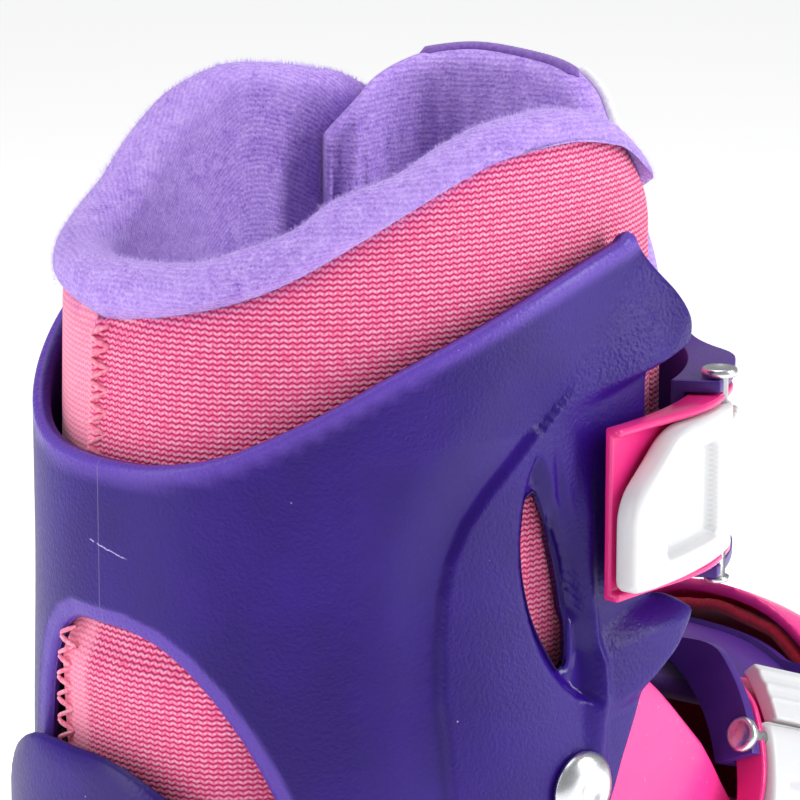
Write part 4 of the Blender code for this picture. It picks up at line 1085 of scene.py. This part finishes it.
def makeLiner():
    angles = np.unique(np.concatenate([np.arange(-139, 139.1, 1.1), [-139, 139]]))
    rows, places, kinds, pale = [], [], [], []
    for angle in angles:
        thick, proud, half, top, foot = rollShape(angle)
        seam = math.exp(-((angle - liner["seamAngle"]) / 2.5) ** 2)
        low = liner["low"]
        profile = []
        for share in np.linspace(0, 1, 56):  # knit, from its foot to the fleece's edge
            height = low + (foot - low) * share
            tuck = 0.0016 * (1 - float(ease(height, 0.10, 0.16)))
            out = -0.0002 + liner["puff"] * math.sin(math.pi * share) - tuck
            rise = (height - leg["rim"]) * 1000
            inArch = ease(angle, -18, -9) * (1 - ease(angle, 19, 33))
            through = float(inArch * (1 - ease(rise, -37, -30)) * ease(rise, -78, -66))
            crest = math.exp(-((angle - float(seamPath(rise)) + 1.2) / 1.3) ** 2)
            out += 0.0013 * crest + liner["bulge"] * through - 0.0011 * float(ease(share, 0.975, 1.0))
            profile.append((out, height, 0))
        for share in np.linspace(0.0, 1.0, 13):  # the roll swells out of that groove
            height = foot + (top - half - foot) * share
            swell = math.sin(min(share * 1.35, 1) * math.pi / 2)
            profile.append((-0.0013 + (proud + 0.0013) * swell + 0.0004 * seam, height, 1))
        for turn in np.radians(np.linspace(12, 168, 13)):
            profile.append((proud - half + half * math.cos(turn), top - half + half * math.sin(turn), 1))
        for share in np.linspace(0, 1, 44):
            height = (top - half) + (low - top + half) * share
            profile.append((-thick - 0.0004 * math.sin(share * 9), height, 1))
        rows.append([linerOval.at(angle, height, out) for out, height, kind in profile])
        arcs = float(linerOval.arc(angle)) * 1000
        travel = 0.0
        for k, (out, height, kind) in enumerate(profile):
            if k:
                travel += math.hypot(out - profile[k - 1][0], height - profile[k - 1][1]) * 1000
            places.append((arcs, travel if kind else height * 1000))
            fading = 1 - float(ease(-angle, 18, 40))
            pale.append(float(ease(liner["seamAngle"] - angle, 0.6, 2.0)) * fading)
        kinds = [kind for out, height, kind in profile]
    mesh = clothMesh("boot_liner", rows, kinds, places, pale, 0)
    piece = addPiece("boot_liner", mesh, ["knit", "fleece"], None, ["liner_collar", "liner_foot"])
    return piece


tongue = {
    "thickness": 0.0075,
    "front": 0.0015,
    "foot": -0.036,
    "wrinkle": 0.0007,
}


def tongueFace(angle):  # it stands out in the middle and tucks behind the liner's front ends
    tuck = tongue["front"] + liner["thickness"] + 0.0006
    return tongue["front"] - tuck * ease(np.abs(angle - 180), 30, 50)


def makeTongue():
    angles = np.linspace(122, 238, 110)
    crest = [(122, 0.010), (150, 0.020), (166, 0.031), (175, 0.0430), (178, 0.0476), (183, 0.0505),
             (192, 0.0520), (203, 0.0530), (212, 0.0522), (218, 0.0508), (224, 0.0486), (228, 0.0460),
             (238, 0.0400)]
    rows, places, kinds = [], [], []
    for angle in angles:
        top = leg["rim"] + float(curveThrough(crest, angle))
        face = float(tongueFace(angle))
        side = float(ease(abs(angle - 180), 46, 58))
        thick = tongue["thickness"] * (1 - 0.35 * side)
        half = thick / 2
        low = leg["rim"] + tongue["foot"]
        profile = []
        for share in np.linspace(0, 1, 40):
            profile.append((face, low + (top - half - low) * share, 0))
        for turn in np.radians(np.linspace(15, 165, 11)):
            profile.append((face - half + half * math.cos(turn), top - half + half * math.sin(turn), 1))
        for share in np.linspace(0, 1, 40):
            height = top - half + (low - top + half) * share
            fold = math.sin(angle * 0.9 + 2.0 * math.sin(height * 90))
            fold += 0.6 * math.sin(angle * 1.9 - height * 160)
            crease = tongue["wrinkle"] * fold * math.sin(math.pi * min(share * 4, 1) / 2)
            profile.append((face - thick - crease, height, 1))
        rows.append([linerOval.at(angle, height, out) for out, height, kind in profile])
        arc = float(linerOval.arc(angle)) * 1000
        places += [(arc, height * 1000) for out, height, kind in profile]
        kinds = [kind for out, height, kind in profile]
    mesh = clothMesh("boot_tongue", rows, kinds, places, [], 1)
    piece = addPiece("boot_tongue", mesh, ["knit", "fleece"], "cuff", ["tongue"])

    def alongCrest(angles, drop, out):
        heights = [leg["rim"] + float(curveThrough(crest, a)) - drop for a in angles]
        return [linerOval.at(a, height, float(tongueFace(a)) + out) for a, height in zip(angles, heights)]

    band = alongCrest(np.linspace(180, 214, 50), 0.0002, -tongue["thickness"] * 0.5)
    tube("tongue_edge_band", band, 0.0015, "band", "cuff", flat=0.7)
    piping = alongCrest(np.linspace(172, 184, 24), 0.0012, 0.0002)
    tube("tongue_piping", piping, 0.0010, "piping", "cuff")


def tube(name, path, radius, finish, body, flat=1.0, sides=10):
    path = np.array(path)
    run = np.gradient(path, axis=0)
    run /= np.linalg.norm(run, axis=1)[:, None]
    up = np.array((0.0, 0.0, 1.0))
    across = np.cross(run, up)
    across /= np.linalg.norm(across, axis=1)[:, None]
    over = np.cross(across, run)
    turns = np.linspace(0, 2 * np.pi, sides, endpoint=False)
    shrink = np.clip(np.minimum(np.arange(len(path)), np.arange(len(path))[::-1]) / 2.0, 0.15, 1)
    rings = np.array([path + (across * math.cos(t) + over * math.sin(t) * flat) * (radius * shrink)[:, None]
                      for t in turns]).transpose(1, 0, 2)
    return addPiece(name, makeMesh(name, *loft(rings)), finish, body)


def makeNap():  # short fibres on the roll, seen against the light as fuzz
    points, faces = [], []
    angles = random.uniform(-138, 138, liner["napCount"])
    shares = random.uniform(-0.25, 1.15, liner["napCount"])
    for angle, share in zip(angles, shares):
        thick, proud, half, top, foot = rollShape(angle)
        if share < 0:
            drop = (top - half) - (top - half - foot) * min(-share * 4, 0.9)
            root, tilt = (proud - 0.0001, drop), 0.0
        elif share > 1:
            root, tilt = (-thick, top - half - (share - 1) * 0.08), math.pi
        else:
            tilt = math.pi * share
            root = (proud - half + half * math.cos(tilt), top - half + half * math.sin(tilt))
        lean = tilt + random.normal(0, 0.45)
        length = liner["napHeight"] * random.uniform(0.35, 1.0)
        tip = (root[0] + math.cos(lean) * length, root[1] + math.sin(lean) * length)
        width = random.uniform(0.05, 0.09)
        slide = random.normal(0, 0.5)
        start = len(points)
        points += [linerOval.at(angle - width, root[1], root[0]),
                   linerOval.at(angle + width, root[1], root[0]),
                   linerOval.at(angle + slide, tip[1], tip[0])]
        faces.append((start, start + 1, start + 2))
    mesh = bpy.data.meshes.new("fleece_nap")
    mesh.from_pydata([tuple(p) for p in points], [], faces)
    return addPiece("fleece_nap", mesh, "nap", "cuff")


def makeSeam():  # stitches across the rear seam
    points, faces = [], []
    for foot, head in ((0.1345, 0.159), (0.1895, 0.2105)):
        for height in np.arange(foot, head, 0.0037):
            seam = float(seamPath((height - leg["rim"]) * 1000))
            base = 0.0012 + (liner["bulge"] + 0.0002 if height < 0.16 else 0)
            for side in (-1, 1):
                start = len(points)
                for share in np.linspace(0, 1, 6):
                    swell = math.sin(math.pi * share)
                    angle = seam - 1.6 + 3.4 * share
                    here = height + side * 0.00185 * share
                    for turn in np.linspace(0, 2 * np.pi, 6, endpoint=False):
                        wide = 0.00046 * (0.5 + 0.5 * swell)
                        fall = 0.0013 * (1 - math.exp(-((angle - seam + 1.2) / 1.5) ** 2))
                        points.append(linerOval.at(angle, here + wide * math.sin(turn),
                                                   base - fall + 0.0005 * swell + wide * math.cos(turn)))
                for face in gridFaces(6, 6, closedColumns=True):
                    faces.append(tuple(start + k for k in face))
    mesh = bpy.data.meshes.new("seam_stitches")
    mesh.from_pydata([tuple(p) for p in points], [], faces)
    mesh.shade_smooth()
    return addPiece("seam_stitches", mesh, "thread", "cuff")


linerPiece = makeLiner()
makeTongue()
makeNap()
makeSeam()
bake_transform(linerPiece)


def makeTongueFoot():
    angles = np.linspace(140, 220, 60)
    rings = []
    for angle in angles:
        side = float(ease(abs(angle - 180), 30, 40))
        half = tongue["thickness"] / 2 * (1 - 0.45 * side)
        profile = []
        for turn in np.linspace(0, 2 * np.pi, 48, endpoint=False):
            wide = 0.0205 * np.sign(math.cos(turn)) * abs(math.cos(turn)) ** 0.45
            deep = half * np.sign(math.sin(turn)) * abs(math.sin(turn)) ** 0.7
            profile.append(instepOval.at(angle, 0.0035 + wide, -0.0010 - half + deep))
        rings.append(profile)
    mesh = makeMesh("tongue_pad", *loft(np.array(rings)))
    places = [(float(instepOval.arc(a)) * 1000, k * 2.0) for a in angles for k in range(48)]
    keepCloth(mesh, places)
    keepValue(mesh, "pale", [])
    piece = addPiece("tongue_pad", mesh, "padCloth", "shell", ["tongue_foot"])
    corners = [(float(instepOval.arc(angle)), across, 0.002)
               for angle, across in ((158, -0.010), (184, -0.010), (184, 0.016), (158, 0.016))]

    def patchSurface(flat, out):
        return instepOval.at(instepOval.angle(flat[:, 0]), flat[:, 1], out)

    mesh = shellMesh("size_patch", roundedLoop(corners, 0.001), [], patchSurface, 0.0010, 0.0004, 0.002,
                     lambda flat, distance: np.full(len(flat), -0.0006),
                     under=lambda flat, distance: np.full(len(flat), -0.0016))
    addPiece("size_patch", mesh, "patch", "shell")
    return piece


makeTongueFoot()
print("liner made")


# footbed and toe lining

def makeFootbed():
    low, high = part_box("insole")
    outline = []
    for side in (-1, 1):
        half = []
        for share in np.linspace(0, 1, 60):
            x = low.x + (high.x - low.x) * (1 - math.cos(math.pi * share)) / 2
            waist = 0.0025 * math.exp(-((x + 0.006) / 0.018) ** 2)
            middle = 0.0265 + 0.005 * float(ease(x, -0.050, 0.035)) - waist
            half.append((x, side * middle * math.sin(math.pi * share) ** 0.45))
        outline += half[:-1] if side == -1 else half[::-1][:-1]
    outline = resampled(np.array(outline), 0.0014)

    def surface(flat, out):
        return np.stack([flat[:, 0], flat[:, 1], high.z + out], axis=1)

    def relief(flat, distance):
        dish = 0.0007 * (1 - ease(distance, 0.001, 0.014))
        return dish - 0.0004 * ease(distance, 0.004, 0.020)

    mesh = shellMesh("foam_footbed", outline, [], surface, high.z - low.z, 0.0009, 0.0024, relief)
    piece = addPiece("foam_footbed", mesh, "foam", "shell", ["insole"])
    return piece


def softCopy(node, size, smoothing, faces):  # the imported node's shape, remeshed so that its edges are soft
    piece = bpy.data.objects.new(node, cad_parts[node].data.copy())
    bpy.context.scene.collection.objects.link(piece)
    return remeshed(applied(welded(piece)), size, smoothing, faces)


def makeToeLining():
    piece = softCopy("liner_toe", 0.0009, 5, 30000)
    dressed(piece, "toe_lining", "lining", "toe", ["liner_toe"])
    return piece


makeFootbed()
makeToeLining()
print("footbed and toe lining made")


# buckles: strap, pin, frame, lever, release tab

buckle = {
    "strapWall": 0.0021,
    "strapLow": 0.0010,
    "leverHalf": 0.0132,
    "leverThick": 0.0044,
    "leverLength": 0.0335,
    "frameWall": 0.0014,
    "gap": 0.0004,
    "recessDepth": 0.0022,
    "pinHead": 0.0031,
    "slant": 0.010,
    "frameInside": 0.0128,     # half the width between the frame's cheeks
    "hingeOut": 0.0045,
    "noseRadius": 0.0029,      # of the lever's end at the pin, seen along the strap
    "noseDepth": 0.0022,
}


def channel(wrap, middle, angles, halfWidth, wall, bottom, flange):
    rings = []
    for angle in angles:
        wide, low, high = (float(f(angle)) for f in (halfWidth, bottom, flange))
        section = [(-wide, low), (wide, low), (wide, high), (wide - wall, high), (wide - wall, low + wall),
                   (-wide + wall, low + wall), (-wide + wall, high), (-wide, high)]
        rings.append([wrap.at(angle, middle + across, out) for across, out in section])
    return loft(np.array(rings))


def turnedMesh(name, profile, place, axis, segments=40):
    turn = Vector(axis).to_track_quat("Z", "Y").to_matrix().to_4x4()
    where = Matrix.Translation(Vector(place)) @ turn
    rings = []
    for radius, height in profile:
        circle = np.linspace(0, 2 * np.pi, segments, endpoint=False)
        rings.append([where @ Vector((radius * math.cos(t), radius * math.sin(t), height)) for t in circle])
    return makeMesh(name, *loft(np.array(rings)))


def addTurned(name, profile, place, axis, body, node, finish="steel", segments=40):
    return addPiece(name, turnedMesh(name, profile, place, axis, segments), finish, body, [node])


def makeBuckle(name, wrap, middle, pinAngle, hingeAngle, strapHalfWidth, fixedBody):
    low, wall, gap = buckle["strapLow"], buckle["strapWall"], buckle["gap"]
    frameLow = low + wall + gap
    frameHalf = buckle["frameInside"] + gap + buckle["frameWall"]
    strapHalf = frameHalf + gap + wall
    leverLow = frameLow + buckle["frameWall"] + 0.0010
    pinOut = leverLow + buckle["leverThick"] / 2
    at = wrap.grown(pinOut)

    def step(angle, distance):
        return float(at.angle(at.arc(angle) + distance))

    freeAngle = step(pinAngle, -buckle["leverLength"])
    frameBack, noseAngle = step(freeAngle, 0.0004), step(pinAngle, 0.0160)
    tabBack, strapFront = step(pinAngle, 0.0034), step(pinAngle, -0.0034)
    hinge = wrap.grown(buckle["hingeOut"])
    hingeEnd, hingeStart, webEnd = (float(hinge.angle(hinge.arc(hingeAngle) + distance))
                                    for distance in (0.0030, -0.0062, -0.0058))

    def lowSide(angle):
        return low + 0.0010 * ease(angle, hingeStart - 4, hingeStart)

    def flange(angle):
        near = 0.0050 * (1 - ease(angle, noseAngle, noseAngle + 14))
        return low + wall + 0.0010 + near + 0.0028 * ease(angle, hingeStart - 10, hingeStart)

    def halfWidth(angle):
        return strapHalf + (strapHalfWidth - strapHalf) * ease(angle, noseAngle + 6, noseAngle + 30)

    angles = np.concatenate([np.linspace(strapFront, webEnd, 90), np.linspace(webEnd, hingeEnd, 8)[1:]])
    made = channel(wrap, middle, angles, halfWidth, wall, lowSide, flange)
    strap = addPiece(name + "_band", makeMesh(name + "_band", *made), "strap")
    inner = strapHalfWidth - wall
    window = [(webEnd, middle - inner), (hingeAngle + 16, middle - inner), (hingeAngle + 16, middle + inner),
              (webEnd, middle + inner)]
    sides = [[wrap.at(a, v, out) for a, v in window] for out in (-0.004, 0.014)]
    cutBy(strap, plainObject("window", *loft(np.array(sides))))
    withBevel(strap, 0.0006, 3, 40)
    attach(strap, name + "_strap")
    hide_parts(name + "_strap")

    frameAngles = np.linspace(frameBack, noseAngle, 60)
    made = channel(wrap, middle, frameAngles, lambda a: frameHalf, buckle["frameWall"], lambda a: frameLow,
                   lambda a: frameLow + 0.0030 + 0.0028 * ease(a, freeAngle + 6, pinAngle - 4)
                   - 0.0022 * ease(a, pinAngle + 5, noseAngle))
    cradle = addPiece(name + "_cradle", makeMesh(name + "_cradle", *made), "frame", name + "_strap",
                      [name + "_buckle_frame"])
    withBevel(cradle, 0.00045, 3, 40)

    start, end = float(at.arc(freeAngle)), float(at.arc(pinAngle)) + buckle["noseRadius"]
    half, slant = buckle["leverHalf"] - 0.0004, buckle["slant"]
    outline = roundedLoop([(start, middle - half, 0.0022), (end, middle - half, 0.0012),
                           (end, middle + half, 0.0012), (start + 0.0125, middle + half, 0.0045),
                           (start, middle + half - slant, 0.0045)], 0.0006)
    recess = roundedLoop([(start + 0.0085, middle - 0.0085, 0.0014), (end - 0.0100, middle - 0.0085, 0.0014),
                          (end - 0.0100, middle + 0.0085, 0.0014), (start + 0.0165, middle + 0.0085, 0.002),
                          (start + 0.0085, middle + 0.0012, 0.002)], 0.0006)

    def noseFall(flat):
        radius, depth = buckle["noseRadius"], buckle["noseDepth"]
        into = radius - (end - flat[:, 0])
        chord = np.sqrt(np.maximum(radius ** 2 - into ** 2, 0))
        return np.where(into > 0, depth - chord * depth / radius, 0)

    def leverRelief(flat, distance):
        depth = edgeDistance(flat, [recess]) * insideLoop(flat, recess)
        thinning = 0.0005 * ease(start + 0.006 - flat[:, 0], 0, 0.006)
        return -buckle["recessDepth"] * ease(depth, 0, 0.0007) - noseFall(flat) - thinning

    def leverSurface(flat, out):
        return at.at(at.angle(flat[:, 0]), flat[:, 1], out + buckle["leverThick"] / 2)

    def leverUnder(flat, distance):
        return -buckle["leverThick"] + noseFall(flat)

    mesh = shellMesh(name + "_handle", outline, [], leverSurface, buckle["leverThick"], 0.0010, 0.0014,
                     leverRelief, lambda grid: edgeDistance(grid, [recess]) < 0.0016, 0.0005, leverUnder)
    addPiece(name + "_handle", mesh, "white", name + "_lever", [name + "_lever"])

    tabHalf = buckle["frameInside"] - 0.004
    rings = []
    for angle in np.linspace(step(tabBack, 0.0003), step(noseAngle, -0.0010), 24):
        share = (angle - tabBack) / (noseAngle - tabBack)
        ribs = 0.0003 * max(0.0, math.sin(share * 26)) * (0.3 < share < 0.9)
        under, over = leverLow + 0.0007, leverLow + 0.0036 + ribs
        section = [(-tabHalf, under), (tabHalf, under), (tabHalf, over), (-tabHalf, over)]
        rings.append([wrap.at(angle, middle + across, out) for across, out in section])
    mesh = makeMesh(name + "_tab", *loft(np.array(rings)), 40)
    tab = addPiece(name + "_tab", mesh, "white", name + "_release", [name + "_release_tab"])
    withBevel(tab, 0.0005, 3, 50)

    pin = wrap.at(pinAngle, middle, pinOut)
    head, radius = strapHalf + gap, buckle["pinHead"]
    profile = [(0.0001, head + 0.0009), (radius * 0.45, head + 0.00095), (radius * 0.68, head + 0.00125),
               (radius * 0.82, head + 0.0014), (radius * 0.94, head + 0.0012), (radius, head + 0.0007),
               (radius * 0.98, head), (0.0015, head), (0.0015, -head), (0.0022, -head),
               (0.0021, -head - 0.0008), (0.0001, -head - 0.0009)]
    addTurned(name + "_axle", profile, pin, wrap.axis, name + "_strap", name + "_buckle_pin")
    hingePlace = wrap.at(hingeAngle, middle, buckle["hingeOut"])
    head = strapHalfWidth + gap
    profile = [(0.0001, head + 0.0009), (0.0018, head + 0.0010), (0.0023, head + 0.0005), (0.0024, head),
               (0.0015, head), (0.0015, -head), (0.0022, -head), (0.0020, -head - 0.0008),
               (0.0001, -head - 0.0009)]
    addTurned(name + "_hinge_axle", profile, hingePlace, wrap.axis, fixedBody, name + "_hinge_pin")
    low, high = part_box(name + "_hinge_rivet")
    centre = (low + high) / 2
    outward = Vector(wrap.at(hingeAngle + 9, middle, 0.01)) - Vector(wrap.at(hingeAngle + 9, middle, 0.0))
    profile = [(0.0001, 0.0021), (0.0012, 0.0020), (0.0020, 0.0014), (0.0026, 0.0004), (0.0014, 0.0004),
               (0.0014, -0.0020), (0.0001, -0.0020)]
    addTurned(name + "_bracket_rivet", profile, centre, outward, fixedBody, name + "_hinge_rivet")
    for ending, finish, width in (("_hinge_bracket", "strap", 0.0004), ("_rack", "white", 0.0001),
                                  ("_ratchet_spring", "steel", 0.0001)):
        kept(name + ending, finish, width)


def kept(node, finish, width, segments=3):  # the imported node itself, with soft edges and a finish
    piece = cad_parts[node]
    piece.data.materials.clear()
    piece.data.materials.append(finishes[finish])
    withBevel(piece, width, segments, 35)
    return piece


makeBuckle("cuff", legOval, 0.1770, 130.5, 236, 0.0205, "cuff")
makeBuckle("instep", instepOval, 0.0, 119.0, 258, 0.0196, "shell")
print("buckles made")


# blade, holder and fixings

def makeHolder():
    piece = softCopy("blade_holder", 0.0007, 4, 60000)
    return dressed(piece, "runner_holder", "white", "shell", ["blade_holder"])


def makeFixings():
    for name in ("front", "rear"):
        low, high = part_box("runner_screw_" + name)
        centre = (low + high) / 2
        half = (high.y - low.y) / 2
        profile = [(0.0001, half - 0.0009), (0.0011, half - 0.0009), (0.0012, half - 0.0001),
                   (0.0030, half - 0.0004), (0.0036, half - 0.0018), (0.0020, half - 0.0018),
                   (0.0020, -half + 0.0018), (0.0036, -half + 0.0018), (0.0030, -half), (0.0001, -half)]
        addTurned("blade_screw_" + name, profile, centre, (0, -1, 0), "shell", "runner_screw_" + name)
    for k in range(1, 5):
        low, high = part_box("holder_bolt_%d" % k)
        centre = (low + high) / 2
        half = (high.z - low.z) / 2
        profile = [(0.0001, half - 0.0008), (0.0019, half - 0.0008), (0.0020, half), (0.0041, half),
                   (0.0044, half - 0.0003), (0.0044, half - 0.0013), (0.0020, half - 0.0013),
                   (0.0020, -half), (0.0001, -half)]
        addTurned("sole_bolt_%d" % k, profile, centre, (0, 0, 1), "shell", "holder_bolt_%d" % k)
    for name, side in (("outer", -1), ("inner", 1)):
        low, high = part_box("ankle_rivet_" + name)
        outside = max(abs(low.y), abs(high.y))
        inside = min(abs(low.y), abs(high.y))
        radius = (high.x - low.x) / 2
        profile = [(0.0001, outside - 0.0004), (radius * 0.30, outside - 0.0004),
                   (radius * 0.36, outside - 0.0001), (radius * 0.62, outside - 0.0002),
                   (radius * 0.86, outside - 0.0009), (radius, outside - 0.0019), (radius, outside - 0.0024),
                   (0.0030, outside - 0.0024), (0.0030, inside), (0.0001, inside)]
        place = (leg["pivotX"], 0, leg["pivotZ"])
        addTurned("ankle_stud_" + name, profile, place, (0, side, 0), "shell", "ankle_rivet_" + name,
                  segments=56)
    low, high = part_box("size_button")
    centre = (low + high) / 2
    half, radius = (high.y - low.y) / 2, (high.x - low.x) / 2
    profile = [(0.0001, half - 0.0004), (radius * 0.5, half - 0.0003), (radius * 0.72, half),
               (radius * 0.9, half - 0.0001), (radius, half - 0.0008), (radius, -half), (0.0001, -half)]
    addTurned("push_button", profile, centre, (0, -1, 0), "button", "size_button", "white",
              56)
    kept("toe_lock_pin", "steel", 0.0002)
    kept("runner", "blade", 0.0003)


makeHolder()
makeFixings()
print("blade and fixings made")


# floor, light and camera

def makeFloor():
    size = 3.0
    corners = [(-size, -size, 0), (size, -size, 0), (size, size, 0), (-size, size, 0)]
    floor = plainObject("floor", corners, [(0, 1, 2, 3)])
    finish = Finish("paleFloor", Emission_Color=(1.0, 1.0, 1.0, 1.0), Emission_Strength=0.55)
    shade = finish.grain(3.0, 2.0)
    body = finish.mix(shade, (0.93, 0.93, 0.935), (0.96, 0.96, 0.965))
    finish.wear(Base_Color=body, Roughness=0.7 + shade * 0.1)
    floor.data.materials.append(finish.material)


def makeLamp(name, place, aim, size, power, colour=(1, 1, 1)):
    lamp = bpy.data.lights.new(name, "AREA")
    lamp.shape, lamp.energy, lamp.color = "RECTANGLE", power, colour
    lamp.size, lamp.size_y = size
    item = bpy.data.objects.new(name, lamp)
    bpy.context.scene.collection.objects.link(item)
    item.location = place
    item.rotation_euler = (Vector(aim) - Vector(place)).to_track_quat("-Z", "Y").to_euler()


def makeStudio():
    scene = bpy.context.scene
    scene.view_settings.view_transform = "Standard"
    world = bpy.data.worlds.new("studio")
    world.use_nodes = True
    world.node_tree.nodes["Background"].inputs["Color"].default_value = (0.93, 0.935, 0.95, 1)
    world.node_tree.nodes["Background"].inputs["Strength"].default_value = 0.36
    scene.world = world
    makeFloor()
    aim = (-0.035, 0, 0.15)
    makeLamp("right_softbox", (0.55, -0.75, 0.55), aim, (0.22, 0.9), 8.0)
    makeLamp("left_softbox", (-0.95, 0.25, 0.50), aim, (0.35, 0.9), 4.5)
    makeLamp("top_softbox", (-0.05, 0.10, 1.10), aim, (0.8, 0.5), 4.0)
    camera = bpy.data.cameras.new("camera")
    camera.lens, camera.sensor_width = 197.4, 36.0
    item = bpy.data.objects.new("camera", camera)
    scene.collection.objects.link(item)
    item.location = (-0.5403, -0.5260, 0.3626)
    item.rotation_euler = (Vector((-0.03513, 0, 0.1872)) - item.location).to_track_quat("-Z", "Y").to_euler()
    scene.camera = item


makeStudio()
